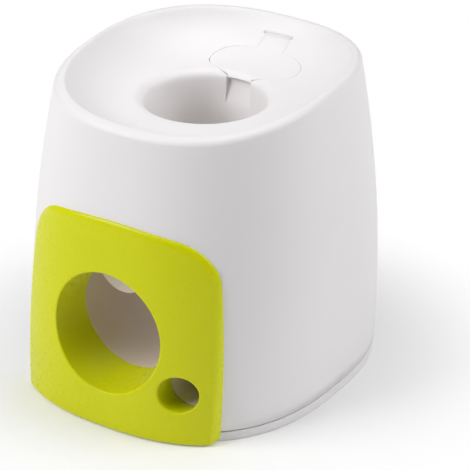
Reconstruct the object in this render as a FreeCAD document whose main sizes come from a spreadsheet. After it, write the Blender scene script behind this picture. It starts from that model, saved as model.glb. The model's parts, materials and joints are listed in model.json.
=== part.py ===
"""Gravity fetch-and-treat dispenser: a ball dropped in the top bore rolls out at the front and swings a flap,
which turns a dosing drum through a sector gear, so that a treat slides out beside the ball.

Frame: millimetres, +Z up, front towards -Y, right side towards +X, origin under the middle of the housing."""
import FreeCAD, Part
import math
import os

import Sketcher
from FreeCAD import Placement, Rotation, Vector

DIMENSIONS = {
    # outer form: superelliptic sections whose half sizes are quadratic in the height
    "form_height": 200.0, "half_width": 95.1, "width_swell": 0.09, "width_taper": 0.24,
    "half_depth": 103.6, "depth_swell": 0.08, "depth_taper": 0.25,
    "section_power": 2.52, "power_change": 0.05, "lean_linear": 5.53, "lean_square": 1.11,
    "crown_radius": 891.0, "crown_y": 54.1, "crown_z": -698.6, "crest_fillet": 3.6, "crest_inner_fillet": 1.0,
    "shell_wall": 2.8, "seam_height": 7.0,
    # dished top
    "bowl_floor": 172.0, "bowl_half_width": 47.0, "bowl_half_depth": 54.8, "bowl_y": 2.2, "bowl_power": 2.4,
    "bowl_radius": 35.0, "bowl_skin": 2.6,
    # bore for the ball
    "bore_y": 1.2, "bore_radius": 36.4, "bore_rounding": 6.0, "throat_radius": 34.8, "throat_wall": 2.5,
    "throat_end": 132.0,
    # treat lid
    "lid_y": 54.9, "lid_half_width": 29.6, "lid_half_depth": 17.2, "lid_power": 2.4, "lid_thickness": 2.0,
    "lid_gap": 0.35, "lip_half_width": 8.4, "lip_bottom": 168.4, "seat_skin": 4.4, "rim_radius": 20.8,
    "rim_wall": 1.2, "rim_skin": 3.6, "mouth_y": 60.0, "mouth_radius": 22.0, "mouth_front": 46.5,
    "mouth_back": 67.0, "hinge_y": 76.5, "hinge_z": 174.8, "tab_half_width": 9.2, "tab_reach": 8.1,
    "knuckle_radius": 2.5, "pin_radius": 1.1, "pin_length": 24.0, "scoop_depth": 3.0, "scoop_top": 165.0,
    "scoop_bottom": 152.0,
    # front panel
    "panel_proud": 2.4, "panel_half_width": 67.7, "panel_side_radius": 620.0, "panel_side_z": 42.0,
    "panel_top": 129.3, "panel_top_radius": 218.0, "panel_corner": 30.0, "panel_foot_corner": 4.0,
    "panel_bottom": 0.4, "panel_edge": 2.0,
    "exit_z": 60.6, "exit_radius": 36.9, "exit_back_radius": 34.5, "exit_back_y": -76.0, "exit_wall": 1.6,
    "outlet_x": 47.0, "outlet_z": 32.2, "outlet_radius": 11.9, "outlet_back_radius": 11.5,
    "outlet_back_y": -88.5, "outlet_wall": 1.5, "hole_rounding": 0.8,
    # ball chute: a trough that bends through a quarter turn
    "chute_radius": 34.8, "chute_wall": 2.3, "chute_z": 60.9, "chute_bend_y": -60.5, "chute_bend": 61.7,
    "chute_side": 50.0, "chute_front_y": -75.7, "chute_top": 131.7,
    # trigger
    "axle_y": -72.0, "axle_z": 110.0, "axle_radius": 2.5, "axle_flat": 1.9, "axle_length": 93.5,
    "flap_radius": 17.5, "flap_z": 97.2, "flap_y": -84.0, "flap_thickness": 2.4, "bush_radius": 4.0,
    # gears and dosing drum
    "gear_module": 1.25, "sector_teeth": 94, "pinion_teeth": 26, "gear_width": 4.0, "gear_x": 41.0,
    "drum_y": 0.0, "drum_z": 89.0, "drum_radius": 22.0, "drum_x": 48.3, "drum_length": 24.4,
    "shaft_radius": 3.0, "shaft_flat": 2.3, "shaft_length": 38.5, "case_bore": 22.6, "case_radius": 24.8,
    "case_length": 27.5, "case_end_wall": 2.0, "cover_thickness": 2.0,
    # base
    "base_bottom": 1.0, "base_top": 6.7, "base_floor": 2.4, "pad_top": 4.6, "foot_radius": 8.0,
    # fasteners
    "screw_radius": 1.4, "screw_head": 2.6, "head_height": 1.4, "pilot_radius": 1.45,
}

doc = FreeCAD.newDocument("fetch_and_treat_dispenser")
sheet = doc.addObject("Spreadsheet::Sheet", "Dimensions")
for row, (alias, value) in enumerate(DIMENSIONS.items(), start=1):
    sheet.set("A%d" % row, alias)
    sheet.set("B%d" % row, str(value))
    sheet.setAlias("B%d" % row, alias)
doc.recompute()

NODES = []

# radial play of a piece that is pressed in or keyed, of one that turns, and of a tube or boss in its hole
FIXED_FIT = 0.04
TURNING_FIT = 0.06
HOLE_PLAY = 0.4


def dim(alias):
    """Reads a driving dimension from the sheet."""
    return float(sheet.get(alias))


# ---------------------------------------------------------------- helpers

def keep(obj, label):
    """Lists an object as a sub-part under its label."""
    obj.Label = label
    NODES.append(obj)
    return obj


def shape_part(label, shape, position=Vector(0, 0, 0)):
    """A sub-part whose form no feature fits."""
    obj = doc.addObject("Part::Feature", label)
    obj.Shape = shape
    obj.Placement = Placement(position, Rotation())
    return keep(obj, label)


def box(x0, x1, y0, y1, z0, z1):
    return Part.makeBox(x1 - x0, y1 - y0, z1 - z0, Vector(x0, y0, z0))


def rod_x(radius, x0, x1, y, z):
    return Part.makeCylinder(radius, x1 - x0, Vector(x0, y, z), Vector(1, 0, 0))


def rod_y(radius, x, y0, y1, z):
    return Part.makeCylinder(radius, y1 - y0, Vector(x, y0, z), Vector(0, 1, 0))


def rod_z(radius, x, y, z0, z1):
    return Part.makeCylinder(radius, z1 - z0, Vector(x, y, z0), Vector(0, 0, 1))


def polar(radius, degrees, centre=(0.0, 0.0)):
    angle = math.radians(degrees)
    return Vector(centre[0] + radius * math.cos(angle), centre[1] + radius * math.sin(angle), 0)


def superellipse(half_x, half_y, centre_x, centre_y, power, z, count=24):
    """Closed smooth wire through the points of |x/a|^n + |y/b|^n = 1; equal parameters keep lofts light."""
    points = []
    for step in range(count):
        angle = 2 * math.pi * step / count
        reach = (abs(math.cos(angle) / half_x) ** power + abs(math.sin(angle) / half_y) ** power) ** (-1 / power)
        points.append(Vector(centre_x + reach * math.cos(angle), centre_y + reach * math.sin(angle), z))
    curve = Part.BSplineCurve()
    curve.interpolate(points, PeriodicFlag=True, Parameters=[step / count for step in range(count + 1)])
    return Part.Wire([curve.toShape()])


def outer_form(offset):
    """Solid of the housing's outer form from the floor to above its crown, grown by an offset."""
    sections = []
    for z in (0.0, 50.0, 100.0, 150.0, 205.0):
        level = z / dim("form_height")
        half_x = dim("half_width") * (1 + dim("width_swell") * level - dim("width_taper") * level ** 2) + offset
        half_y = dim("half_depth") * (1 + dim("depth_swell") * level - dim("depth_taper") * level ** 2) + offset
        lean = dim("lean_linear") * level + dim("lean_square") * level ** 2
        power = dim("section_power") - dim("power_change") * level
        sections.append(superellipse(half_x, half_y, 0, lean, power, z))
    return Part.makeLoft(sections, True, False)


def crown(depth):
    """Wide cylinder across the housing whose top is its crowned rim, lowered by a depth; its seam lies below."""
    cylinder = rod_x(dim("crown_radius") - depth, -130, 130, dim("crown_y"), dim("crown_z"))
    cylinder.rotate(Vector(0, dim("crown_y"), dim("crown_z")), Vector(1, 0, 0), 180)
    return cylinder


def bowl(skin):
    """Solid that the dished top takes away: flat floor, then a concave arc outwards, grown by a skin."""
    radius = dim("bowl_radius") + skin
    sections = []
    for height in (0.0, 0.6, 2.5, 6.0, 12.0, 20.0, 30.0):
        spread = math.sqrt(2 * radius * height - height ** 2)
        sections.append(superellipse(dim("bowl_half_width") + spread, dim("bowl_half_depth") + spread, 0,
                                     dim("bowl_y"), dim("bowl_power"), dim("bowl_floor") - skin + height))
    return Part.makeLoft(sections, True, False)


def crown_edges(solid, outer):
    """Edges round the crowned rim: of its outer wire, or of its inner one."""
    for face in solid.Faces:
        if isinstance(face.Surface, Part.Cylinder) and face.Surface.Radius > 800:
            if outer:
                return face.OuterWire.Edges
            return [edge for wire in face.Wires if not wire.isSame(face.OuterWire) for edge in wire.Edges]
    return []


def half_round(radius, side):
    """Trough section in its own plane: half a circle below, straight sides above, closed on top."""
    left = Vector(-radius, 0, 0)
    right = Vector(radius, 0, 0)
    arc = Part.Arc(left, Vector(0, -radius, 0), right).toShape()
    sides = Part.makePolygon([right, Vector(radius, side, 0), Vector(-radius, side, 0), left])
    return Part.Wire([arc] + sides.Edges)


def upright(wire, x, y, z):
    """Stands a flat section up across the Y axis at a place."""
    turned = wire.copy()
    turned.Placement = Placement(Vector(x, y, z), Rotation(Vector(1, 0, 0), 90))
    return turned


# PartDesign helpers

def new_body(label, position=Vector(0, 0, 0)):
    body = doc.addObject("PartDesign::Body", label)
    body.Placement = Placement(position, Rotation())
    return keep(body, label)


def new_sketch(body, role, lift=0.0):
    sketch = body.newObject("Sketcher::SketchObject", body.Label + "_profile")
    plane = next(item for item in body.Origin.OriginFeatures if item.Role == role)
    sketch.AttachmentSupport = [(plane, "")]
    sketch.MapMode = "FlatFace"
    sketch.AttachmentOffset = Placement(Vector(0, 0, lift), Rotation())
    return sketch


def add_circle(sketch, alias, centre=Vector(0, 0, 0)):
    """Circle whose radius follows a cell of the sheet."""
    index = sketch.addGeometry(Part.Circle(centre, Vector(0, 0, 1), dim(alias)))
    constraint = sketch.addConstraint(Sketcher.Constraint("Radius", index, dim(alias)))
    sketch.setExpression("Constraints[%d]" % constraint, "Dimensions." + alias)


def add_polygon(sketch, points):
    for start, end in zip(points, points[1:] + points[:1]):
        sketch.addGeometry(Part.LineSegment(start, end))


def add_flatted(sketch, radius, flat):
    """Round profile with one flat, which keys a hub to its shaft."""
    edge = math.degrees(math.acos(flat / radius))
    arc = Part.Arc(polar(radius, edge), polar(radius, 180), polar(radius, 360 - edge))
    sketch.addGeometry(arc)
    sketch.addGeometry(Part.LineSegment(polar(radius, 360 - edge), polar(radius, edge)))


def add_ring_sector(sketch, inner, outer, start, end):
    middle = (start + end) / 2
    sketch.addGeometry(Part.Arc(polar(outer, start), polar(outer, middle), polar(outer, end)))
    sketch.addGeometry(Part.LineSegment(polar(outer, end), polar(inner, end)))
    sketch.addGeometry(Part.Arc(polar(inner, end), polar(inner, middle), polar(inner, start)))
    sketch.addGeometry(Part.LineSegment(polar(inner, start), polar(outer, start)))


def pad(body, sketch, alias):
    feature = body.newObject("PartDesign::Pad", body.Label + "_pad")
    feature.Profile = sketch
    feature.setExpression("Length", "Dimensions." + alias)
    doc.recompute()
    return feature


def pocket(body, sketch, length):
    """Cuts from the sketch along its normal and makes sure that something was cut."""
    before = body.Shape.Volume
    feature = body.newObject("PartDesign::Pocket", body.Label + "_pocket")
    feature.Profile = sketch
    feature.Length = length
    feature.Reversed = True
    doc.recompute()
    if body.Shape.Volume >= before - 1e-6:
        raise RuntimeError("pocket of %s cuts nothing" % body.Label)
    return feature


# ---------------------------------------------------------------- housing

SEAT_CENTRES = ((75, -58), (-75, -58), (62, 72), (-62, 72))
PANEL_BOSSES = ((58, 14), (-58, 14), (52, 112), (-52, 112))
BOSS_STAND = 1.5
HOPPER_BOSSES = ((32, 60), (-32, 60))
FLAP_SLOT_HALF = 18.6
FLAP_SLOT_Y = -96.2
PANEL_BOSS_RADIUS = 2.9
PANEL_PILOT_DEPTH = 5.7
SEAT_MARGIN = 2.4
SEAT_BASE = 163.0
SCOOP_WALL = 1.6
RIM_SIDE_GAP = 1.2
HEAD_SEAT_Z = 2.6
FOOT_HEIGHT = 2.2


def front_y(x, z, offset=0.0):
    """Y of the outer form's front at a place."""
    level = z / dim("form_height")
    half_x = dim("half_width") * (1 + dim("width_swell") * level - dim("width_taper") * level ** 2) + offset
    half_y = dim("half_depth") * (1 + dim("depth_swell") * level - dim("depth_taper") * level ** 2) + offset
    lean = dim("lean_linear") * level + dim("lean_square") * level ** 2
    power = dim("section_power") - dim("power_change") * level
    return lean - half_y * (1 - abs(x / half_x) ** power) ** (1 / power)


def lid_outline(grow):
    """Prism over the lid's oval plan and over its lip, down to the lip's lower edge."""
    bottom = dim("lip_bottom") - grow
    height = 200 - bottom
    oval = superellipse(dim("lid_half_width") + grow, dim("lid_half_depth") + grow, 0, dim("lid_y"),
                        dim("lid_power"), bottom)
    half = dim("lip_half_width") + grow
    lip = Part.makeBox(2 * half, dim("lid_y") - 20, height, Vector(-half, 20, bottom))
    return Part.Face(oval).extrude(Vector(0, 0, height)).fuse(lip)


def throat_slope():
    """Change of the tapering throat's radius per millimetre of height."""
    straight = dim("bowl_floor") - dim("bore_rounding") - dim("throat_end")
    return (dim("bore_radius") - dim("throat_radius")) / straight


def bore_cutter(skin):
    """Tapering bore with a rounded upper edge, as one turned solid, grown by a skin."""
    rounding = dim("bore_rounding")
    floor = dim("bowl_floor")
    ring = dim("bore_radius") + rounding
    radius = dim("bore_radius") + skin
    low = Vector(radius, 0, floor - rounding)
    high = Vector(ring, 0, floor - skin)
    reach = (rounding - skin) * math.sqrt(0.5)
    middle = Vector(ring - reach, 0, floor - rounding + reach)
    top = 195
    bottom = dim("throat_end") - 10
    end_radius = radius - throat_slope() * (floor - rounding - bottom)
    outline = Part.makePolygon([high, Vector(ring, 0, top), Vector(0, 0, top), Vector(0, 0, bottom),
                                Vector(end_radius, 0, bottom), low])
    wire = Part.Wire([Part.Arc(low, middle, high).toShape()] + outline.Edges)
    cutter = Part.Face(wire).revolve(Vector(0, 0, 0), Vector(0, 0, 1), 360)
    cutter.translate(Vector(0, dim("bore_y"), 0))
    return cutter


def dish(skin):
    """Dished top and bore together, grown by a skin: what the lid, its seat and the scoop's wall follow."""
    return bowl(skin).fuse(bore_cutter(skin))


def scoop_cutter():
    """Finger scoop under the lid's lip: a slot in the bore's wall that runs out downwards."""
    half = dim("lip_half_width") + dim("lid_gap")
    centre = dim("bore_y")
    rounding_z = dim("bowl_floor") - dim("bore_rounding")
    wall_low = centre + dim("bore_radius") - throat_slope() * (rounding_z - dim("scoop_bottom"))
    back = centre + dim("bore_radius") + dim("scoop_depth")
    inside = centre + 20
    top = dim("lip_bottom") + 0.5
    profile = Part.makePolygon([Vector(-half, inside, dim("scoop_bottom")), Vector(-half, wall_low,
                               dim("scoop_bottom")), Vector(-half, back, dim("scoop_top")),
                               Vector(-half, back, top), Vector(-half, inside, top),
                               Vector(-half, inside, dim("scoop_bottom"))])
    return Part.Face(profile).extrude(Vector(2 * half, 0, 0))


def build_shell():
    form = outer_form(0)
    shell = form.common(crown(0))
    shell = shell.makeFillet(dim("crest_fillet"), crown_edges(shell, True))
    shell = shell.cut(bowl(0))
    shell = shell.makeFillet(dim("crest_inner_fillet"), crown_edges(shell, False))
    throat_top = 190
    throat_base = dim("throat_radius") + dim("throat_wall")
    throat_height = throat_top - dim("throat_end")
    throat = Part.makeCone(throat_base, throat_base + throat_slope() * throat_height, throat_height,
                           Vector(0, dim("bore_y"), dim("throat_end")))
    cavity = outer_form(-dim("shell_wall")).common(crown(3.2)).cut(bowl(dim("bowl_skin"))).cut(throat)
    shell = shell.cut(cavity)
    shell = shell.cut(box(-150, 150, -150, 150, -10, dim("seam_height")))
    # seat under the lid, hinge block, scoop wall and screw bosses, all kept inside the outer form
    inside_skin = dish(1.0)
    seat_plan = superellipse(dim("lid_half_width") + SEAT_MARGIN, dim("lid_half_depth") + SEAT_MARGIN, 0,
                             dim("lid_y"), dim("lid_power"), SEAT_BASE)
    seat = Part.Face(seat_plan).extrude(Vector(0, 0, 30)).common(dish(dim("seat_skin"))).cut(inside_skin)
    wall = dim("tab_half_width") + 3.6
    hinge = box(-wall, wall, 67.5, 87.5, 165.2, 186).cut(bowl(1.0))
    scoop = box(-11, 11, 25, 50, dim("scoop_bottom") - 3, 168).common(dish(dim("scoop_depth") + SCOOP_WALL))
    scoop = scoop.cut(inside_skin)
    extras = [seat, hinge, scoop]
    for x, y in SEAT_CENTRES:
        extras.append(rod_z(4, x, y, dim("pad_top"), 34))
        side = math.copysign(1, x)
        rib = box(min(x, x + side * 22), max(x, x + side * 22), y - 0.8, y + 0.8, dim("seam_height") + 2, 34)
        extras.append(rib.common(outer_form(-1)))
    for x, y in HOPPER_BOSSES:
        extras.append(rod_z(3.6, x, y, 165.0, 171))
    shell = shell.fuse(extras).cut(bore_cutter(0))
    # lid seat, mouth, hinge slot and finger scoop
    recess = lid_outline(dim("lid_gap")).common(dish(dim("lid_thickness") + 0.1))
    mouth = rod_z(dim("mouth_radius"), 0, dim("mouth_y"), 150, 200)
    mouth = mouth.common(box(-40, 40, dim("mouth_front"), dim("mouth_back"), 140, 210))
    slot_half = dim("tab_half_width") + dim("lid_gap")
    slot = rod_x(dim("tab_reach") + 0.3, -slot_half, slot_half, dim("hinge_y"), dim("hinge_z"))
    pin_reach = dim("pin_length") / 2 + 0.1
    pin_hole = rod_x(dim("pin_radius") + FIXED_FIT, -pin_reach, pin_reach, dim("hinge_y"), dim("hinge_z"))
    shell = shell.cut([recess, mouth, slot, pin_hole, scoop_cutter()])
    # front holes for the panel's two tubes and its bosses
    holes = [rod_y(dim("exit_radius") + dim("exit_wall") + HOLE_PLAY, 0, -120, -70, dim("exit_z")),
             rod_y(dim("outlet_radius") + dim("outlet_wall") + HOLE_PLAY, dim("outlet_x"), -120, -70, dim("outlet_z"))]
    holes += [rod_y(PANEL_BOSS_RADIUS + HOLE_PLAY, x, -120, -60, z) for x, z in PANEL_BOSSES]
    holes += [rod_z(dim("pilot_radius"), x, y, 0, 22) for x, y in SEAT_CENTRES]
    holes += [rod_z(dim("pilot_radius"), x, y, 150, 168.5) for x, y in HOPPER_BOSSES]
    return shell.cut(holes).removeSplitter()


def build_lid():
    surface = dish(dim("lid_thickness")).cut(dish(0))
    plate = surface.common(lid_outline(0))
    half = dim("tab_half_width")
    barrel = rod_x(dim("tab_reach"), -half, half, dim("hinge_y"), dim("hinge_z"))
    tab = surface.common(box(-half, half, 66, 86, 150, 200)).common(barrel)
    neck = surface.common(box(-half, half, 66, 73, 150, 200))
    knuckle = rod_x(dim("knuckle_radius"), -half, half, dim("hinge_y"), dim("hinge_z"))
    outside = rod_z(dim("rim_radius"), 0, dim("mouth_y"), 150, 200)
    rim = outside.cut(rod_z(dim("rim_radius") - dim("rim_wall"), 0, dim("mouth_y"), 150, 200))
    rim = rim.common(box(-40, 40, dim("mouth_front") + RIM_SIDE_GAP, dim("mouth_back") - RIM_SIDE_GAP, 150, 200))
    rim = rim.common(bowl(dim("rim_skin")).cut(bowl(1.0)))
    lid = plate.fuse([tab, neck, knuckle, rim])
    lid = lid.cut(rod_x(dim("pin_radius") + TURNING_FIT, -20, 20, dim("hinge_y"), dim("hinge_z")))
    return lid.removeSplitter()


def circles_meet(centre_1, radius_1, centre_2, radius_2):
    """Right-hand point (x, z) at both distances from the two centres."""
    dx = centre_2[0] - centre_1[0]
    dz = centre_2[1] - centre_1[1]
    span = math.hypot(dx, dz)
    along = (radius_1 ** 2 - radius_2 ** 2 + span ** 2) / (2 * span)
    aside = math.sqrt(radius_1 ** 2 - along ** 2)
    points = [(centre_1[0] + (along * dx + sign * aside * dz) / span,
               centre_1[1] + (along * dz - sign * aside * dx) / span) for sign in (-1, 1)]
    return max(points)


def outward(centre, start, radius):
    """Point at a radius from a centre, on the ray that starts at another centre and passes through it."""
    dx = centre[0] - start[0]
    dz = centre[1] - start[1]
    span = math.hypot(dx, dz)
    return Vector(centre[0] + radius * dx / span, 0, centre[1] + radius * dz / span)


def panel_outline():
    """Front view of the panel: crowned top, slightly bowed sides, wide upper corners, small lower ones."""
    corner = dim("panel_corner")
    foot = dim("panel_foot_corner")
    bottom = dim("panel_bottom")
    top_centre = (0, dim("panel_top") - dim("panel_top_radius"))
    side_centre = (dim("panel_half_width") - dim("panel_side_radius"), dim("panel_side_z"))
    corner_centre = circles_meet(side_centre, dim("panel_side_radius") - corner,
                                 top_centre, dim("panel_top_radius") - corner)
    foot_z = bottom + foot
    foot_reach = math.sqrt((dim("panel_side_radius") - foot) ** 2 - (foot_z - side_centre[1]) ** 2)
    foot_centre = (side_centre[0] + foot_reach, foot_z)
    join = outward(corner_centre, top_centre, corner)
    side_high = outward(corner_centre, side_centre, corner)
    side_low = outward(foot_centre, side_centre, foot)
    base = Vector(foot_centre[0], 0, bottom)
    corner_middle = outward(corner_centre, (corner_centre[0] * 2 - (join.x + side_high.x) / 2,
                                            corner_centre[1] * 2 - (join.z + side_high.z) / 2), corner)
    foot_middle = outward(foot_centre, (foot_centre[0] * 2 - (base.x + side_low.x) / 2,
                                        foot_centre[1] * 2 - (base.z + side_low.z) / 2), foot)
    side_middle = Vector(dim("panel_half_width"), 0, dim("panel_side_z"))

    def mirrored(point):
        return Vector(-point.x, 0, point.z)

    right = [(base, foot_middle, side_low), (side_low, side_middle, side_high), (side_high, corner_middle, join)]
    edges = [Part.LineSegment(mirrored(base), base).toShape()]
    edges += [Part.Arc(*points).toShape() for points in right]
    edges.append(Part.Arc(join, Vector(0, 0, dim("panel_top")), mirrored(join)).toShape())
    edges += [Part.Arc(*[mirrored(point) for point in reversed(points)]).toShape() for points in reversed(right)]
    return Part.Wire(edges)


def tube_cone(front_radius, back_radius, x, z, front, back, grow):
    """Cone along Y through a front hole, drawn out past the front face."""
    slope = (front_radius - back_radius) / (back - front)
    extra = 6
    return Part.makeCone(front_radius + slope * extra + grow, back_radius + grow, back - front + extra,
                         Vector(x, front - extra, z), Vector(0, 1, 0))


def on_surface(edge, solid):
    """Whether the whole edge lies on the solid's skin."""
    first, last = edge.ParameterRange
    for part in (0.1, 0.5, 0.9):
        point = edge.valueAt(first + (last - first) * part)
        if Part.Vertex(point).distToShape(solid.Shells[0])[0] > 0.02:
            return False
    return True


def build_panel():
    prism = Part.Face(panel_outline()).extrude(Vector(0, 90, 0))
    prism.translate(Vector(0, -130, 0))
    proud = outer_form(dim("panel_proud"))
    skin = proud.cut(outer_form(0.06)).common(prism)
    skin = skin.makeFillet(dim("panel_edge"), [edge for edge in skin.Edges if on_surface(edge, proud)])
    exit_hole = (dim("exit_radius"), dim("exit_back_radius"), 0, dim("exit_z"),
                 front_y(0, dim("exit_z"), dim("panel_proud")), dim("exit_back_y"))
    outlet_hole = (dim("outlet_radius"), dim("outlet_back_radius"), dim("outlet_x"), dim("outlet_z"),
                   front_y(dim("outlet_x"), dim("outlet_z"), dim("panel_proud")), dim("outlet_back_y"))
    inner_side = outer_form(dim("panel_proud") - 1.0)
    flap_slot = box(-FLAP_SLOT_HALF, FLAP_SLOT_HALF, FLAP_SLOT_Y, -70, 82, 110)
    extras = [tube_cone(*exit_hole, dim("exit_wall")).common(inner_side).cut(flap_slot),
              tube_cone(*outlet_hole, dim("outlet_wall")).common(inner_side)]
    pilots = []
    for x, z in PANEL_BOSSES:
        boss_end = front_y(x, z, -dim("shell_wall")) + BOSS_STAND
        extras.append(rod_y(PANEL_BOSS_RADIUS, x, -110, boss_end, z).common(inner_side))
        pilots.append(rod_y(dim("pilot_radius"), x, boss_end - PANEL_PILOT_DEPTH, -60, z))
    panel = skin.fuse(extras).cut([tube_cone(*exit_hole, 0), tube_cone(*outlet_hole, 0)] + pilots)
    mouths = [tube_cone(*hole, 0) for hole in (exit_hole, outlet_hole)]
    rims = [edge for edge in panel.Edges if on_surface(edge, proud)
            and any(on_surface(edge, mouth) for mouth in mouths)]
    return panel.makeFillet(dim("hole_rounding"), rims).removeSplitter()


def build_base():
    bottom = dim("base_bottom")
    top = dim("base_top")
    floor_top = bottom + dim("base_floor")
    base = outer_form(-0.5).common(box(-150, 150, -150, 150, bottom, top))
    low_edges = [edge for edge in base.Edges if edge.BoundBox.ZMax < bottom + 0.1]
    base = base.makeFillet(1.6, low_edges)
    base = base.cut(outer_form(-3.4).common(box(-150, 150, -150, 150, floor_top, top + 5)))
    slab = box(-150, 150, -150, 150, floor_top, dim("seam_height") + 3)
    lip = outer_form(-dim("shell_wall") - 0.3).common(slab).cut(outer_form(-dim("shell_wall") - 1.9))
    gaps = [box(x - 6, x + 6, -110, -60, floor_top, 20) for x, z in PANEL_BOSSES[:2]]
    for x, y in SEAT_CENTRES:
        side = math.copysign(1, x)
        gaps.append(rod_z(4.4, x, y, 0, 20))
        gaps.append(box(min(x, x + side * 30), max(x, x + side * 30), y - 1.2, y + 1.2, 8, 20))
    screwed = FLOOR_SCREWS + SEAT_CENTRES
    pads = [rod_z(5.5, x, y, floor_top - 0.5, dim("pad_top")) for x, y in screwed]
    holes = [rod_z(dim("pilot_radius"), x, y, 0, 10) for x, y in screwed]
    holes += [rod_z(dim("screw_head") + 0.3, x, y, 0, HEAD_SEAT_Z) for x, y in screwed]
    holes += [rod_z(dim("foot_radius") + 0.05, x, y, 0, FOOT_HEIGHT) for x, y in FEET]
    return base.fuse([lip.cut(gaps)] + pads).cut(holes).removeSplitter()


# ---------------------------------------------------------------- chutes, hopper and drum case

BALL_POSTS = ((22, -62), (-22, -62), (22, -5), (-22, -5))
TREAT_POSTS = ((55, -24), (50, -68))
CASE_POSTS = ((54, 16), (68, 16))
FLOOR_SCREWS = BALL_POSTS + TREAT_POSTS + CASE_POSTS
FEET = ((72, -40), (-72, -40), (66, 56), (-66, 56))
HOPPER_TOP = 164.8
HOPPER_WALL = 1.8
HOPPER_CLEAR = 42.2
FLANGE_Z = 162.8


def chute_run(radius, side, front, top):
    """Trough that comes down beside the bore's axis, bends forward through a quarter turn and runs level."""
    section = half_round(radius, side)
    level = upright(section, 0, dim("chute_bend_y"), dim("chute_z"))
    face = Part.Face(level)
    run = face.extrude(Vector(0, front - dim("chute_bend_y"), 0))
    pivot = Vector(0, dim("chute_bend_y"), dim("chute_z") + dim("chute_bend"))
    bend = face.revolve(pivot, Vector(1, 0, 0), 90)
    raised = face.copy()
    raised.rotate(pivot, Vector(1, 0, 0), 90)
    rise = raised.extrude(Vector(0, 0, top - dim("chute_z") - dim("chute_bend")))
    return run.fuse([bend, rise])


def build_ball_chute():
    inner = dim("chute_radius")
    outer = inner + dim("chute_wall")
    chute = chute_run(outer, dim("chute_side"), dim("chute_front_y"), dim("chute_top"))
    posts = [rod_z(4, x, y, dim("pad_top"), 62) for x, y in BALL_POSTS]
    ears = rod_x(8, -outer, outer, dim("axle_y"), dim("axle_z"))
    ear_webs = box(-outer, outer, dim("axle_y") - 5, dim("chute_bend_y"), 84, dim("axle_z"))
    chute = chute.fuse(posts + [ears, ear_webs])
    chute = chute.cut(chute_run(inner, 56, dim("chute_front_y") - 12, dim("chute_top") + 5))
    chute = chute.cut(box(-inner, inner, -90, dim("chute_bend_y"), dim("chute_z") + 30, 130))
    chute = chute.cut(rod_x(dim("bush_radius") + FIXED_FIT, -60, 60, dim("axle_y"), dim("axle_z")))
    for x, y in BALL_POSTS:
        chute = chute.cut(rod_z(dim("pilot_radius"), x, y, 0, 20))
    return chute.removeSplitter()


def treat_trough(radius_back, radius_front, rise_back, rise_front, back, front):
    """Tapering trough from under the drum down to the outlet."""
    start = upright(half_round(radius_back, rise_back), 60, back, 62)
    end = upright(half_round(radius_front, rise_front), dim("outlet_x"), front, dim("outlet_z"))
    return Part.makeLoft([start, end], True, True)


def build_treat_chute():
    chute = treat_trough(15.2, 12.8, 1.6, 3.5, 5.0, -88.0)
    posts = [rod_z(3.6, x, y, dim("pad_top"), 40 if y < -50 else 52) for x, y in TREAT_POSTS]
    chute = chute.fuse(posts)
    hollow = treat_trough(13.4, 11.0, 14.0, 14.0, 3.2, -88.0)
    chute = chute.cut(hollow).cut(hollow.translated(Vector(0, -0.5, 0)))
    for x, y in TREAT_POSTS:
        chute = chute.cut(rod_z(dim("pilot_radius"), x, y, 0, 18))
    return chute.removeSplitter()


def hopper_form(skin, clear):
    """Funnel from the mouth under the lid, round the throat, down to the drum."""
    sections = [superellipse(25 - skin, 25 - skin, 0, 62, 2.0, HOPPER_TOP, 20),
                superellipse(19 - skin, 19 - skin, 38, 38, 2.6, 136, 20),
                superellipse(13.5 - skin, 14.5 - skin, 60, 0, 5.0, 104, 20)]
    return Part.makeLoft(sections, True, True).cut(rod_z(clear, 0, dim("bore_y"), 90, 180))


def build_hopper():
    flange = [box(min(20 * s, 36.5 * s), max(20 * s, 36.5 * s), 55, 65, FLANGE_Z, HOPPER_TOP)
              for s in (-1, 1)]
    hopper = hopper_form(0, HOPPER_CLEAR).fuse(flange)
    hopper = hopper.cut(hopper_form(HOPPER_WALL, HOPPER_CLEAR + HOPPER_WALL))
    hopper = hopper.cut(rod_x(dim("case_radius") + 0.3, 30, 90, dim("drum_y"), dim("drum_z")))
    for x, y in HOPPER_BOSSES:
        hopper = hopper.cut(rod_z(dim("pilot_radius"), x, y, 150, 170))
    return hopper.removeSplitter()


def ring_sector(inner, outer, start, end, x0, x1):
    """Wedge of a ring round the drum's axis, angles from +Y towards +Z."""
    centre = Vector(x0, dim("drum_y"), dim("drum_z"))

    def at(radius, degrees):
        flat = polar(radius, degrees)
        return centre + Vector(0, flat.x, flat.y)

    middle = (start + end) / 2
    wire = Part.Wire([Part.Arc(at(outer, start), at(outer, middle), at(outer, end)).toShape(),
                      Part.LineSegment(at(outer, end), at(inner, end)).toShape(),
                      Part.Arc(at(inner, end), at(inner, middle), at(inner, start)).toShape(),
                      Part.LineSegment(at(inner, start), at(outer, start)).toShape()])
    return Part.Face(wire).extrude(Vector(x1 - x0, 0, 0))


CASE_X = 48.0
COVER_SCREWS = (20, -38)


def cover_screw_place(degrees):
    flat = polar(28.2, degrees)
    return dim("drum_y") + flat.x, dim("drum_z") + flat.y


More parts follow.
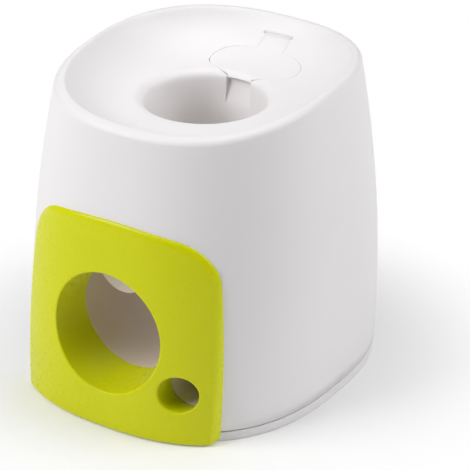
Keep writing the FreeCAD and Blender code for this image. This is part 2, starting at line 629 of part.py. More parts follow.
def build_case():
    far = CASE_X + dim("case_length")
    case = rod_x(dim("case_radius"), CASE_X, far, dim("drum_y"), dim("drum_z"))
    stand = box(50, 72, 14.5, 17.5, dim("pad_top"), 84)
    posts = [rod_z(4, x, y, dim("pad_top"), 22) for x, y in CASE_POSTS]
    lugs = []
    for degrees in COVER_SCREWS:
        y, z = cover_screw_place(degrees)
        lugs.append(rod_x(3.6, CASE_X, CASE_X + 12, y, z))
        lugs.append(ring_sector(20, 28, degrees - 4, degrees + 4, CASE_X, CASE_X + 12))
    case = case.fuse([stand] + posts + lugs)
    case = case.cut(rod_x(dim("case_bore"), CASE_X - 1, far - dim("case_end_wall"), dim("drum_y"), dim("drum_z")))
    case = case.cut(rod_x(dim("shaft_radius") + TURNING_FIT, CASE_X, far + 1, dim("drum_y"), dim("drum_z")))
    case = case.cut(ring_sector(18, 30, 72, 138, CASE_X + 2, far - dim("case_end_wall")))
    case = case.cut(ring_sector(18, 30, 187, 273, CASE_X + 2, far - dim("case_end_wall")))
    for degrees in COVER_SCREWS:
        y, z = cover_screw_place(degrees)
        case = case.cut(rod_x(dim("pilot_radius"), CASE_X - 1, CASE_X + 9, y, z))
    for x, y in CASE_POSTS:
        case = case.cut(rod_z(dim("pilot_radius"), x, y, 0, 18))
    return case.removeSplitter()


def build_cover():
    cover = rod_x(dim("case_radius"), CASE_X - dim("cover_thickness"), CASE_X, dim("drum_y"), dim("drum_z"))
    for degrees in COVER_SCREWS:
        y, z = cover_screw_place(degrees)
        cover = cover.fuse(rod_x(3.6, CASE_X - dim("cover_thickness"), CASE_X, y, z))
    cover = cover.cut(rod_x(dim("shaft_radius") + TURNING_FIT, 40, 60, dim("drum_y"), dim("drum_z")))
    for degrees in COVER_SCREWS:
        y, z = cover_screw_place(degrees)
        cover = cover.cut(rod_x(dim("pilot_radius"), 40, 60, y, z))
    return cover


# ---------------------------------------------------------------- trigger

def flatted_rod(radius, flat, x0, x1, y, z):
    """Shaft with one flat on the side towards +Y."""
    return rod_x(radius, x0, x1, y, z).cut(box(x0 - 1, x1 + 1, y + flat, y + flat + radius, z - radius, z + radius))


def build_flap():
    thick = dim("flap_thickness")
    front = dim("flap_y") - thick / 2
    paddle = rod_y(dim("flap_radius"), 0, front, front + thick, dim("flap_z"))
    paddle = paddle.common(box(-30, 30, -100, -60, 60, dim("flap_z")))
    half = dim("flap_radius")
    shoulder = box(-half, half, front, front + thick, dim("flap_z"), 103)
    hub = rod_x(4.6, -33.8, 33.8, dim("axle_y"), dim("axle_z"))
    arm_profile = Part.makePolygon([Vector(0, front, 103), Vector(0, front + thick, 97), Vector(0, -70, 106),
                                    Vector(0, -72, 114.4), Vector(0, -76, 112.2), Vector(0, front, 103)])
    arms = []
    for x in (-14.5, -1.2, 12.1):
        arm = Part.Face(arm_profile).extrude(Vector(2.4, 0, 0))
        arm.translate(Vector(x, 0, 0))
        arms.append(arm)
    flap = paddle.fuse([shoulder, hub] + arms)
    flap = flap.cut(flatted_rod(dim("axle_radius") + FIXED_FIT, dim("axle_flat") + FIXED_FIT, -40, 40, dim("axle_y"),
                                dim("axle_z")))
    return flap.removeSplitter()


def build_spring():
    """Torsion spring about the X axis: a flat-sided wire carried along a coil and its two straight legs."""
    wire_radius = 0.42
    wire_sides = 6
    coil_radius = 3.4
    pitch = 1.1
    turns = 4
    steps = 12
    leg = Vector(0, 0, 9)
    points = []
    for step in range(turns * steps + 1):
        place = polar(coil_radius, 360.0 * step / steps)
        points.append(Vector(pitch * step / steps, place.x, place.y))
    points = [points[0] - leg] + points + [points[-1] + leg]
    profile = []
    for side in range(wire_sides + 1):
        corner = polar(wire_radius, 360.0 * side / wire_sides)
        profile.append(points[0] + Vector(corner.x, corner.y, 0))
    return Part.makePolygon(points).makePipeShell([Part.makePolygon(profile)], True, False, 1)


def involute_tooth(teeth, middle, backlash):
    """Points of one involute tooth, from its root on one side over the tip to the root on the other."""
    module = dim("gear_module")
    pitch_radius = module * teeth / 2
    base_radius = pitch_radius * math.cos(math.radians(20))
    root = pitch_radius - 1.25 * module
    tip = pitch_radius + 0.95 * module
    half_pitch = math.pi / (2 * teeth) - backlash / (2 * pitch_radius)

    def involute(radius):
        angle = math.acos(min(1.0, base_radius / radius))
        return math.tan(angle) - angle

    flank = []
    for radius in (max(base_radius, root), pitch_radius, tip):
        offset = half_pitch + involute(pitch_radius) - involute(radius)
        flank.append((radius, math.degrees(offset)))
    if base_radius > root:
        flank.insert(0, (root, flank[0][1]))
    rising = [polar(radius, middle - offset) for radius, offset in flank]
    falling = [polar(radius, middle + offset) for radius, offset in reversed(flank)]
    return rising + falling


def build_pinion():
    body = new_body("drum_gear", Vector(dim("gear_x"), dim("drum_y"), dim("drum_z")))
    sketch = new_sketch(body, "YZ_Plane")
    teeth = int(dim("pinion_teeth"))
    mesh_angle = math.degrees(math.atan2(dim("axle_z") - dim("drum_z"), dim("axle_y") - dim("drum_y")))
    outline = []
    for number in range(teeth):
        outline += involute_tooth(teeth, mesh_angle + (number + 0.5) * 360 / teeth, 0.24)
    add_polygon(sketch, outline)
    add_flatted(sketch, dim("shaft_radius") + FIXED_FIT, dim("shaft_flat") + FIXED_FIT)
    pad(body, sketch, "gear_width")


def build_sector():
    body = new_body("sector_gear", Vector(dim("gear_x"), dim("axle_y"), dim("axle_z")))
    sketch = new_sketch(body, "YZ_Plane")
    teeth = int(dim("sector_teeth"))
    mesh_angle = math.degrees(math.atan2(dim("drum_z") - dim("axle_z"), dim("drum_y") - dim("axle_y")))
    outline = []
    for number in range(-2, 10):
        outline += involute_tooth(teeth, mesh_angle + number * 360 / teeth, 0.24)
    hub = 7.5
    first = polar(hub, -75)
    last = polar(hub, 72)
    points = [first] + outline + [last]
    for start, end in zip(points, points[1:]):
        sketch.addGeometry(Part.LineSegment(start, end))
    sketch.addGeometry(Part.Arc(last, polar(hub, 180), first))
    add_flatted(sketch, dim("axle_radius") + FIXED_FIT, dim("axle_flat") + FIXED_FIT)
    add_ring_sector(sketch, 17, 49, -13, 8)
    pad(body, sketch, "gear_width")


def build_drum():
    body = new_body("dosing_drum", Vector(dim("drum_x"), dim("drum_y"), dim("drum_z")))
    sketch = new_sketch(body, "YZ_Plane")
    add_circle(sketch, "drum_radius")
    add_flatted(sketch, dim("shaft_radius") + FIXED_FIT, dim("shaft_flat") + FIXED_FIT)
    pad(body, sketch, "drum_length")
    scoop = new_sketch(body, "YZ_Plane", 2.0)
    add_ring_sector(scoop, 8, 24, 74, 136)
    pocket(body, scoop, dim("drum_length") - 4.0)


def build_shaft(label, radius_alias, flat_alias, length_alias, position):
    body = new_body(label, position)
    sketch = new_sketch(body, "YZ_Plane")
    add_flatted(sketch, dim(radius_alias), dim(flat_alias))
    pad(body, sketch, length_alias)


def build_pin():
    body = new_body("lid_hinge_pin", Vector(-dim("pin_length") / 2, dim("hinge_y"), dim("hinge_z")))
    sketch = new_sketch(body, "YZ_Plane")
    add_circle(sketch, "pin_radius")
    pad(body, sketch, "pin_length")


def build_bushes():
    bushes = []
    for side in (-1, 1):
        near = dim("chute_radius") + 0.05
        far = dim("chute_radius") + dim("chute_wall")
        sleeve = rod_x(dim("bush_radius"), near, far, dim("axle_y"), dim("axle_z"))
        collar = rod_x(6.0, far + 0.02, far + 1.3, dim("axle_y"), dim("axle_z"))
        neck = rod_x(dim("bush_radius"), far - 0.1, far + 1.0, dim("axle_y"), dim("axle_z"))
        bush = sleeve.fuse([collar, neck])
        bush = bush.cut(rod_x(dim("axle_radius") + TURNING_FIT, 0, 60, dim("axle_y"), dim("axle_z"))).removeSplitter()
        if side < 0:
            bush = bush.mirror(Vector(0, 0, 0), Vector(1, 0, 0))
        bushes.append(bush)
    return Part.makeCompound(bushes)


# ---------------------------------------------------------------- fasteners and feet

def screw(length):
    """Round-headed screw: head below the origin, shank upwards."""
    head = Part.makeCylinder(dim("screw_head"), dim("head_height"), Vector(0, 0, -dim("head_height")))
    return head.fuse(Part.makeCylinder(dim("screw_radius"), length)).removeSplitter()


def screws(label, places, length, direction=Vector(0, 0, 1)):
    """Group of equal screws: each place is the underside of a head, the direction is that of the shank."""
    turn = Rotation(Vector(0, 0, 1), direction)
    group = []
    for place in places:
        item = screw(length)
        item.Placement = Placement(Vector(*place), turn)
        group.append(item)
    shape_part(label, Part.makeCompound(group))


def build_feet():
    feet = []
    for x, y in FEET:
        foot = rod_z(dim("foot_radius"), x, y, 0, FOOT_HEIGHT)
        feet.append(foot.makeFillet(0.6, [edge for edge in foot.Edges if edge.BoundBox.ZMax < 0.1]))
    return Part.makeCompound(feet)


# ---------------------------------------------------------------- assembly

shape_part("body_shell", build_shell())
shape_part("base_plate", build_base())
shape_part("front_panel", build_panel())
shape_part("treat_lid", build_lid())
build_pin()
shape_part("ball_chute", build_ball_chute())
shape_part("treat_chute", build_treat_chute())
shape_part("treat_hopper", build_hopper())
shape_part("drum_housing", build_case())
shape_part("drum_cover", build_cover())
build_drum()
build_shaft("drum_shaft", "shaft_radius", "shaft_flat", "shaft_length", Vector(39.5, dim("drum_y"), dim("drum_z")))
build_pinion()
shape_part("trigger_flap", build_flap())
build_shaft("trigger_axle", "axle_radius", "axle_flat", "axle_length", Vector(-47, dim("axle_y"), dim("axle_z")))
build_sector()
shape_part("axle_bushes", build_bushes())
shape_part("trigger_spring", build_spring(), Vector(-44.6, dim("axle_y"), dim("axle_z")))
shape_part("rubber_feet", build_feet())

screws("shell_screws", [(x, y, HEAD_SEAT_Z) for x, y in SEAT_CENTRES], 14)
screws("ball_chute_screws", [(x, y, HEAD_SEAT_Z) for x, y in BALL_POSTS], 12)
screws("treat_chute_screws", [(x, y, HEAD_SEAT_Z) for x, y in TREAT_POSTS], 12)
screws("drum_housing_screws", [(x, y, HEAD_SEAT_Z) for x, y in CASE_POSTS], 12)
screws("hopper_screws", [(x, y, FLANGE_Z) for x, y in HOPPER_BOSSES], 5.4)
screws("panel_screws", [(x, front_y(x, z, -dim("shell_wall")) + BOSS_STAND, z) for x, z in PANEL_BOSSES], 4.8,
       Vector(0, -1, 0))
screws("drum_cover_screws", [(CASE_X - dim("cover_thickness"),) + cover_screw_place(d) for d in COVER_SCREWS], 9.5,
       Vector(1, 0, 0))

doc.recompute()
faulty = [obj.Name for obj in doc.Objects if "Invalid" in obj.State or "Error" in obj.State]
faulty += [obj.Label for obj in NODES if obj.Shape.isNull() or not obj.Shape.isValid()]
if faulty:
    raise RuntimeError("failed objects: " + ", ".join(faulty))

os.makedirs("parts", exist_ok=True)
for obj in NODES:
    obj.Shape.exportStep("parts/%s.step" % obj.Label)
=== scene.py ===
"""Gravity fetch-and-treat dispenser: moulded skins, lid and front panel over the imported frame.

Shapes are worked out in millimetres and put into the meshes in metres, in the frame's own axes."""
import json
import math

import bmesh
import bpy
import numpy as np
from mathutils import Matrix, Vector
from mathutils.geometry import delaunay_2d_cdt


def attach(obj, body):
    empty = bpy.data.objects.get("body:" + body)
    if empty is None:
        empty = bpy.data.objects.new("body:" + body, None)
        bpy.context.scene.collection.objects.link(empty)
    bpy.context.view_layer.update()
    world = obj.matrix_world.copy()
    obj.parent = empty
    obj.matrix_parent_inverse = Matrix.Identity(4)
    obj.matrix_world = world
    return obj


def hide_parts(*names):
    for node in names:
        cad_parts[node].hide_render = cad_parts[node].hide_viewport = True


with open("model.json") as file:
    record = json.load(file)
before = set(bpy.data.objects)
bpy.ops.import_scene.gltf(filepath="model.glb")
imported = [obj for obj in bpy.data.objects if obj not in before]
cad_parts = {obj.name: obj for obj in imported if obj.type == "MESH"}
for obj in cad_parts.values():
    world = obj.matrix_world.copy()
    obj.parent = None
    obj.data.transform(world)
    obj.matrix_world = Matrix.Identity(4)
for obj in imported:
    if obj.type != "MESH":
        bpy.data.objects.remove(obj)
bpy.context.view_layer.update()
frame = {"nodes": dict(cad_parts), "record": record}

MM = 0.001

# outer form: superelliptic sections whose half sizes are quadratic in the height
FORM_HEIGHT = 200.0
HALF_WIDTH = 95.1
WIDTH_SWELL = 0.09
WIDTH_TAPER = 0.24
HALF_DEPTH = 103.6
DEPTH_SWELL = 0.08
DEPTH_TAPER = 0.25
LEAN_LINEAR = 5.53
LEAN_SQUARE = 1.11
SECTION_POWER = 2.52
POWER_CHANGE = 0.05
CROWN_RADIUS = 891.0
CROWN_Y = 54.1
CROWN_Z = -698.6
CREST_GUESS = 188.0
CREST_FILLET = 3.6
INNER_FILLET = 1.6
SEAM_Z = 7.0
SKIN_WALL = 1.2
# the skin is left open behind the panel, where the tubes pass
OPEN_HALF = 62.5
OPEN_BOTTOM = 12
OPEN_TOP = 104
# dished top
BOWL_Z = 172.0
BOWL_X = 47.0
BOWL_Y = 54.8
BOWL_CENTRE = 2.2
BOWL_POWER = 2.4
BOWL_RADIUS = 35.0
WIDEST_SPREAD = 34.9
# bore
BORE_Y = 1.2
BORE_RADIUS = 36.4
BORE_ROUNDING = 6.0
THROAT_RADIUS = 34.8
THROAT_END = 132.0
SCOOP_TOP = 165.0
SCOOP_BOTTOM = 152.0
SCOOP_DEPTH = 3.0
# lid
LID_Y = 54.9
LID_HALF_WIDTH = 29.6
LID_HALF_DEPTH = 17.2
LID_POWER = 2.4
LID_WALL = 1.9
LIP_HALF = 8.4
LIP_BOTTOM = 168.4
TAB_HALF = 9.2
TAB_BACK = 80.9
LID_EDGE = 0.2
GAP = 0.35
BACK_GAP = 0.06
RECESS = 2.1
MOUTH_DEPTH = 2.0
HINGE_Y = 76.5
HINGE_Z = 174.8
KNUCKLE_RADIUS = 2.5
KNUCKLE_EASE = 0.25
PIN_HOLE = 1.16
SLOT_RADIUS = 8.4
SLOT_FRONT = 68.6
MOUTH_Y = 60.0
MOUTH_RADIUS = 22.0
MOUTH_FRONT = 46.5
MOUTH_BACK = 67.0
RIM_RADIUS = 20.8
RIM_WALL = 1.2
RIM_DROP = 3.6
RIM_START = 1.2
RIM_EASE = 0.3
RIM_SHORTER = 1.2
# front panel
PANEL_PROUD_FOOT = 5.6
PANEL_PROUD_TOP = 1.7
PANEL_HALF = 67.7
PANEL_SIDE_RADIUS = 620.0
PANEL_SIDE_Z = 42.0
PANEL_TOP = 129.3
PANEL_TOP_RADIUS = 218.0
PANEL_CORNER = 30.0
PANEL_FOOT = 3.6
PANEL_BOTTOM = 0.2
PANEL_ROLL_FOOT = 1.6
PANEL_ROLL_TOP = 3.4
PANEL_ROLL_HEIGHT = 60.0
PANEL_ROLL_POWER = 0.9
PANEL_BACK_GAP = 0.06
EXIT_Z = 60.6
EXIT_MOUTH_Z = 61.0
EXIT_RADIUS = 36.7
EXIT_BACK_RADIUS = 34.4
EXIT_BACK_Y = -76.0
EXIT_WALL = 1.6
EXIT_ROUNDING = 1.3
OUTLET_X = 47.0
OUTLET_Z = 32.2
OUTLET_MOUTH_X = 47.6
OUTLET_MOUTH_Z = 33.0
OUTLET_RADIUS = 11.4
OUTLET_BACK_RADIUS = 11.5
OUTLET_BACK_Y = -88.5
OUTLET_WALL = 1.5
OUTLET_ROUNDING = 1.0
MOUTH_ROUND_SHARE = 0.8
FLAP_SLOT_HALF = 18.6
FLAP_SLOT_Y = -96.2
SLOT_STEP = 1e-5
# base tray: heights and growths of the outer form, under its floor and from its wall's top to its floor
TRAY_UNDER = ((1.0, -3.0), (1.0, -2.4), (0.15, -1.6))
TRAY_INSIDE = ((5.8, -0.15), (6.1, -0.45), (6.1, -3.4), (3.4, -3.4))
TRAY_INSET = 0.15
TRAY_ROUNDING = 0.7
TRAY_ROUND_Z = 0.85


# ---------------------------------------------------------------- forms

HALVINGS = 40
FARTHEST = 200.0


def section(z, grow=0.0):
    """Half width, half depth, centre and power of the outer form at a height; the power is linear in it."""
    level = z / FORM_HEIGHT
    half_x = HALF_WIDTH * (1 + WIDTH_SWELL * level - WIDTH_TAPER * level ** 2) + grow
    half_y = HALF_DEPTH * (1 + DEPTH_SWELL * level - DEPTH_TAPER * level ** 2) + grow
    centre = LEAN_LINEAR * level + LEAN_SQUARE * level ** 2
    return half_x, half_y, centre, SECTION_POWER - POWER_CHANGE * level


def reach(angle, half_x, half_y, centre, power, pole):
    """Distance r from the pole (0, pole) at which |x/a|^n + |(y - c)/b|^n = 1, by halving the interval."""
    low = np.zeros(np.broadcast(angle, half_x).shape)
    high = low + FARTHEST
    for _ in range(HALVINGS):
        middle = (low + high) / 2
        x = np.abs(middle * np.cos(angle)) / half_x
        y = np.abs(pole + middle * np.sin(angle) - centre) / half_y
        inside = x ** power + y ** power < 1
        low = np.where(inside, middle, low)
        high = np.where(inside, high, middle)
    return (low + high) / 2


def wall(angle, z, grow=0.0):
    """Points of the outer form on rays from the bowl's pole: (r cos t, pole + r sin t, z)."""
    z = np.broadcast_to(z, np.broadcast(angle, z).shape)
    half_x, half_y, centre, power = section(z, grow)
    r = reach(angle, half_x, half_y, centre, power, BOWL_CENTRE)
    return np.stack([r * np.cos(angle), BOWL_CENTRE + r * np.sin(angle), z], -1)


def crown(y):
    """Height of the crowned rim, a wide cylinder across the housing: z = c + sqrt(R^2 - (y - y0)^2)."""
    return CROWN_Z + np.sqrt(CROWN_RADIUS ** 2 - (y - CROWN_Y) ** 2)


def bowl_ring(angle, spread):
    """Points of the dish where its floor outline has spread outwards: z = floor + R - sqrt(R^2 - d^2)."""
    spread = np.broadcast_to(spread, np.broadcast(angle, spread).shape)
    r = reach(angle, BOWL_X + spread, BOWL_Y + spread, BOWL_CENTRE, BOWL_POWER, BOWL_CENTRE)
    z = BOWL_Z + BOWL_RADIUS - np.sqrt(BOWL_RADIUS ** 2 - spread ** 2)
    return np.stack([r * np.cos(angle), BOWL_CENTRE + r * np.sin(angle), z], -1)


def bowl_z(x, y):
    """Height of the dish over a plan point: its spread d solves the grown superellipse, by halving."""
    low = np.zeros(np.shape(x))
    high = low + WIDEST_SPREAD
    for _ in range(HALVINGS):
        middle = (low + high) / 2
        outside = (np.abs(x) / (BOWL_X + middle)) ** BOWL_POWER \
            + (np.abs(y - BOWL_CENTRE) / (BOWL_Y + middle)) ** BOWL_POWER > 1
        low = np.where(outside, middle, low)
        high = np.where(outside, high, middle)
    spread = np.where(low < 1e-6, 0.0, low)
    return BOWL_Z + BOWL_RADIUS - np.sqrt(BOWL_RADIUS ** 2 - spread ** 2)


def front(x, z, grow=0.0):
    """Y of the outer form's front at a place: centre - b (1 - |x/a|^n)^(1/n)."""
    half_x, half_y, centre, power = section(z, grow)
    return centre - half_y * (1 - np.abs(x / half_x) ** power) ** (1 / power)


# ---------------------------------------------------------------- mesh tools

# distances in metres, for the finished mesh
WELD = 4e-6
SHORTEST_EDGE = 2e-6
SHARP_DEGREES = 38.0
BEVEL_DEGREES = 50


def grid(points, wrap=False):
    """Quads over an array of points (rows, columns, 3); wrap joins the last column to the first."""
    rows, columns = points.shape[:2]
    i = np.arange(rows - 1)[:, None]
    j = np.arange(columns if wrap else columns - 1)[None, :]
    a = i * columns + j
    b = i * columns + (j + 1) % columns
    faces = np.stack([a, b, b + columns, a + columns], -1).reshape(-1, 4)
    return points.reshape(-1, 3), faces


def ruled(first, second, steps=2):
    """Surface of straight lines between two curves of equally many points."""
    t = np.linspace(0, 1, steps)[:, None, None]
    return grid(first[None] * (1 - t) + second[None] * t)


def line(start, end, count):
    """Evenly spaced plan points of a straight line."""
    t = np.linspace(0, 1, count)[:, None]
    return np.array(start, float) * (1 - t) + np.array(end, float) * t


def arc(centre, radius, start, end, count):
    """Plan points of an arc, angles in degrees from +X."""
    t = np.radians(np.linspace(start, end, count))
    return np.stack([centre[0] + radius * np.cos(t), centre[1] + radius * np.sin(t)], -1)


def conic(first, corner, last, steps, weight=0.72):
    """Rounding between two curves: a rational quadratic whose middle leans on the corner curve."""
    t = np.linspace(0, 1, steps)[:, None, None]
    a = (1 - t) ** 2
    b = 2 * t * (1 - t) * weight
    c = t ** 2
    return (a * first[None] + b * corner[None] + c * last[None]) / (a + b + c)


def inside_loop(points, loop):
    """Even-odd test of plan points against a closed loop."""
    x, y = points[:, 0][:, None], points[:, 1][:, None]
    x0, y0 = loop[:, 0][None], loop[:, 1][None]
    x1, y1 = np.roll(loop[:, 0], -1)[None], np.roll(loop[:, 1], -1)[None]
    crosses = (y0 > y) != (y1 > y)
    with np.errstate(divide="ignore", invalid="ignore"):
        at = x0 + (y - y0) * (x1 - x0) / (y1 - y0)
    return (np.sum(crosses & (x < at), axis=1) % 2) == 1


def distance_to_loop(points, loop):
    """Shortest plan distance from each point to a closed loop."""
    a = loop[None]
    b = np.roll(loop, -1, axis=0)[None]
    p = points[:, None]
    ab = b - a
    t = np.clip(np.sum((p - a) * ab, -1) / np.maximum(np.sum(ab * ab, -1), 1e-12), 0, 1)
    return np.sqrt(np.sum((p - a - ab * t[..., None]) ** 2, -1)).min(1)


def plan_grid(first, second):
    """Scattered points of a plan: every pair of a first and a second coordinate."""
    a, b = np.meshgrid(first, second)
    return np.stack([a.ravel(), b.ravel()], -1)


def bore_arc(radius, angle):
    """Plan points of a circle about the bore, angles in radians from +Y towards +X."""
    return np.stack([radius * np.sin(angle), BORE_Y + radius * np.cos(angle)], -1)


def trimmed(outer, holes, points, keep_off=0.7):
    """Triangles of the plan inside one loop and outside the others, over scattered points."""
    keep = inside_loop(points, outer) & (distance_to_loop(points, outer) > keep_off)
    for hole in holes:
        keep &= ~inside_loop(points, hole) & (distance_to_loop(points, hole) > keep_off)
    loops = [outer] + list(holes)
    everything = np.concatenate(loops + [points[keep]])
    edges = []
    start = 0
    for loop in loops:
        number = np.arange(len(loop))
        edges += np.stack([start + number, start + (number + 1) % len(loop)], -1).tolist()
        start += len(loop)
    plan, _, faces, _, _, _ = delaunay_2d_cdt([Vector(p) for p in everything.tolist()], edges, [], 0, 1e-5)
    plan = np.array([tuple(p) for p in plan])
    faces = np.array([list(f) for f in faces])
    middle = plan[faces].mean(1)
    good = inside_loop(middle, outer)
    for hole in holes:
        good &= ~inside_loop(middle, hole)
    return plan, faces[good]


def piece(name, surfaces, body, material, replaces, thickness=0.0, bevel=0.0):
    """Welds surfaces into one mesh object that rides on a body and stands for CAD nodes."""
    vertices = np.concatenate([s[0] for s in surfaces]) * MM
    faces = []
    start = 0
    for points, quads in surfaces:
        faces += (quads + start).tolist()
        start += len(points)
    mesh = bpy.data.meshes.new(name)
    mesh.from_pydata(vertices.tolist(), [], faces)
    shape = bmesh.new()
    shape.from_mesh(mesh)
    bmesh.ops.remove_doubles(shape, verts=shape.verts, dist=WELD)
    bmesh.ops.dissolve_degenerate(shape, edges=shape.edges, dist=SHORTEST_EDGE)
    bmesh.ops.recalc_face_normals(shape, faces=shape.faces)
    shape.to_mesh(mesh)
    shape.free()
    mesh.shade_smooth()
    mesh.set_sharp_from_angle(angle=math.radians(SHARP_DEGREES))
    mesh.materials.append(material)
    obj = bpy.data.objects.new(name, mesh)
    bpy.context.scene.collection.objects.link(obj)
    if thickness:
        solid = obj.modifiers.new("wall", "SOLIDIFY")
        solid.thickness = thickness * MM
        solid.offset = -1
        solid.use_even_offset = False
    if bevel:
        soft = obj.modifiers.new("edge", "BEVEL")
        soft.width = bevel * MM
        soft.segments = 2
        soft.limit_method = "ANGLE"
        soft.angle_limit = math.radians(BEVEL_DEGREES)
        soft.harden_normals = False
    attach(obj, body)
    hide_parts(*replaces)


# ---------------------------------------------------------------- materials

CLOUD_SCALE = 14.0
CLOUD_DETAIL = 3.0
CLOUD_LIGHTER = 0.4
GRAIN_DETAIL = 2.0
ROUGHNESS_SPREAD = 0.03
RELIEF_DEPTH = 0.001


def moulded(name, colour, roughness, shade=0.03, grain=900.0, bump=0.012, specular=0.5, metallic=0.0):
    """Moulded plastic or metal: faint cloudy colour, fine grain in the bump and in the roughness."""
    material = bpy.data.materials.new(name)
    material.use_nodes = True
    tree = material.node_tree
    shader = tree.nodes["Principled BSDF"]
    place = tree.nodes.new("ShaderNodeTexCoord")
    cloud = tree.nodes.new("ShaderNodeTexNoise")
    cloud.inputs["Scale"].default_value = CLOUD_SCALE
    cloud.inputs["Detail"].default_value = CLOUD_DETAIL
    tree.links.new(place.outputs["Object"], cloud.inputs["Vector"])
    ramp = tree.nodes.new("ShaderNodeValToRGB")
    ramp.color_ramp.elements[0].position = 0.3
    ramp.color_ramp.elements[1].position = 0.7
    ramp.color_ramp.elements[0].color = tuple(c * (1 - shade) for c in colour) + (1,)
    ramp.color_ramp.elements[1].color = tuple(min(1.0, c * (1 + shade * CLOUD_LIGHTER)) for c in colour) + (1,)
    tree.links.new(cloud.outputs["Fac"], ramp.inputs["Fac"])
    tree.links.new(ramp.outputs["Color"], shader.inputs["Base Color"])
    fine = tree.nodes.new("ShaderNodeTexNoise")
    fine.inputs["Scale"].default_value = grain
    fine.inputs["Detail"].default_value = GRAIN_DETAIL
    tree.links.new(place.outputs["Object"], fine.inputs["Vector"])
    spread = tree.nodes.new("ShaderNodeMapRange")
    spread.inputs["To Min"].default_value = roughness - ROUGHNESS_SPREAD
    spread.inputs["To Max"].default_value = roughness + ROUGHNESS_SPREAD
    tree.links.new(fine.outputs["Fac"], spread.inputs["Value"])
    tree.links.new(spread.outputs["Result"], shader.inputs["Roughness"])
    relief = tree.nodes.new("ShaderNodeBump")
    relief.inputs["Strength"].default_value = bump
    relief.inputs["Distance"].default_value = RELIEF_DEPTH
    tree.links.new(fine.outputs["Fac"], relief.inputs["Height"])
    tree.links.new(relief.outputs["Normal"], shader.inputs["Normal"])
    shader.inputs["Specular IOR Level"].default_value = specular
    shader.inputs["Metallic"].default_value = metallic
    return material


WHITE = moulded("satin_white", (0.915, 0.893, 0.905), 0.42, shade=0.012, specular=0.4)
LID_WHITE = moulded("lid_white", (0.91, 0.893, 0.905), 0.40, shade=0.012, specular=0.4)
LIME = moulded("lime_panel", (0.71, 0.74, 0.0), 0.28, shade=0.02, grain=400.0, bump=0.0015, specular=0.25)
# the chute's white plastic is coloured darker and brownish: painted shade for its dim, warm-lit inside
CHUTE_WHITE_IN_PAINTED_SHADE = moulded("chute_white_painted_shade", (0.80, 0.69, 0.63), 0.5, shade=0.03)
GREY = moulded("case_grey", (0.34, 0.35, 0.36), 0.5, shade=0.05)
ACETAL = moulded("acetal_cream", (0.70, 0.66, 0.55), 0.45, shade=0.04)
STEEL = moulded("zinc_steel", (0.55, 0.56, 0.58), 0.32, shade=0.08, metallic=1.0)
RUBBER = moulded("foot_rubber", (0.02, 0.02, 0.02), 0.8, shade=0.2, bump=0.05)

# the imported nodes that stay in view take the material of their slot
SLOT_MATERIALS = {"white_plastic": WHITE, "lime_plastic": LIME, "inner_white": CHUTE_WHITE_IN_PAINTED_SHADE, "inner_grey": GREY,
                  "gear_plastic": ACETAL, "steel": STEEL, "rubber": RUBBER}
for entry in frame["record"]["subparts"]:
    node = frame["nodes"][entry["node"]]
    node.data.materials.clear()
    node.data.materials.append(SLOT_MATERIALS[entry["material_slot"]])


# ---------------------------------------------------------------- housing shell

COLUMNS = 240
TURN = np.linspace(0, 2 * math.pi, COLUMNS, endpoint=False)
CREST_STEPS = 12
BOWL_CREST_STEPS = 40
TRIM_SPREAD = 20.0
TRIM_SPREAD_BACK = 6.3
# the crest's two roundings take at most these shares of the rim's width
OUTER_SHARE = 0.6
INNER_SHARE = 0.2
RIM_SPLITS = (0.33, 0.67)


def crest_height(angle):
    """Height at which the wall meets the crown on each ray, by repeated substitution."""
    z = np.full(angle.shape, CREST_GUESS)
    for _ in range(CREST_STEPS):
        z = crown(wall(angle, z)[:, 1])
    return z


def bowl_crest(angle):
    """Spread at which the dish meets the crown on each ray: sqrt(2 R h - h^2), by damped substitution."""
    z = np.full(angle.shape, CREST_GUESS)
    for _ in range(BOWL_CREST_STEPS):
        rise = z - BOWL_Z
        spread = np.sqrt(2 * BOWL_RADIUS * rise - rise ** 2)
        z = 0.5 * z + 0.5 * crown(bowl_ring(angle, spread)[:, 1])
    return spread


def trim_spread(angle):
    """Spread of the loop between the dish's turned rows and its trimmed middle: wider behind, by sin^2."""
    return TRIM_SPREAD + TRIM_SPREAD_BACK * np.clip(np.sin(angle), 0, 1) ** 2


def on_crown(points):
    """Points moved up or down on to the crown."""
    raised = points.copy()
    raised[:, 2] = crown(points[:, 1])
    return raised


def along_ray(points, angle, distance):
    """Points moved out from the pole: x + d cos t, y + d sin t."""
    moved = points.copy()
    moved[:, 0] += distance * np.cos(angle)
    moved[:, 1] += distance * np.sin(angle)
    return moved


def shell_turned():
    """Wall, rounded crest and upper dish: rows of rings on rays from the pole."""
    top = crest_height(TURN)
    rise = np.linspace(0, 1, 26)[:, None]
    outer = wall(TURN[None], SEAM_Z + (top[None] - CREST_FILLET - SEAM_Z) * rise)
    corner = wall(TURN, top)
    edge_spread = bowl_crest(TURN)
    edge = bowl_ring(TURN, edge_spread)
    room = np.hypot(*(corner - edge)[:, :2].T)
    rim_out = on_crown(along_ray(corner, TURN, -np.minimum(CREST_FILLET, OUTER_SHARE * room)))
    rim_in = on_crown(along_ray(edge, TURN, np.minimum(OUTER_SHARE * INNER_FILLET, INNER_SHARE * room)))
    crest = conic(outer[-1], corner, rim_out, 9)
    below = bowl_ring(TURN, edge_spread - INNER_FILLET)
    inner = conic(rim_in, edge, below, 6)
    drop = np.linspace(0, 1, 10)[:, None]
    spread = (edge_spread - INNER_FILLET)[None] * (1 - drop) + trim_spread(TURN)[None] * drop
    dish = bowl_ring(TURN[None], spread)
    rim = np.stack([rim_out * (1 - t) + rim_in * t for t in RIM_SPLITS])
    rows = np.concatenate([outer, crest[1:], rim, inner, dish[1:]])
    points, faces = grid(rows, wrap=True)
    x, y, z = points[faces].mean(1).T
    behind_panel = (np.abs(x) < OPEN_HALF) & (y < 0) & (z > OPEN_BOTTOM) & (z < OPEN_TOP)
    return points, faces[~behind_panel]


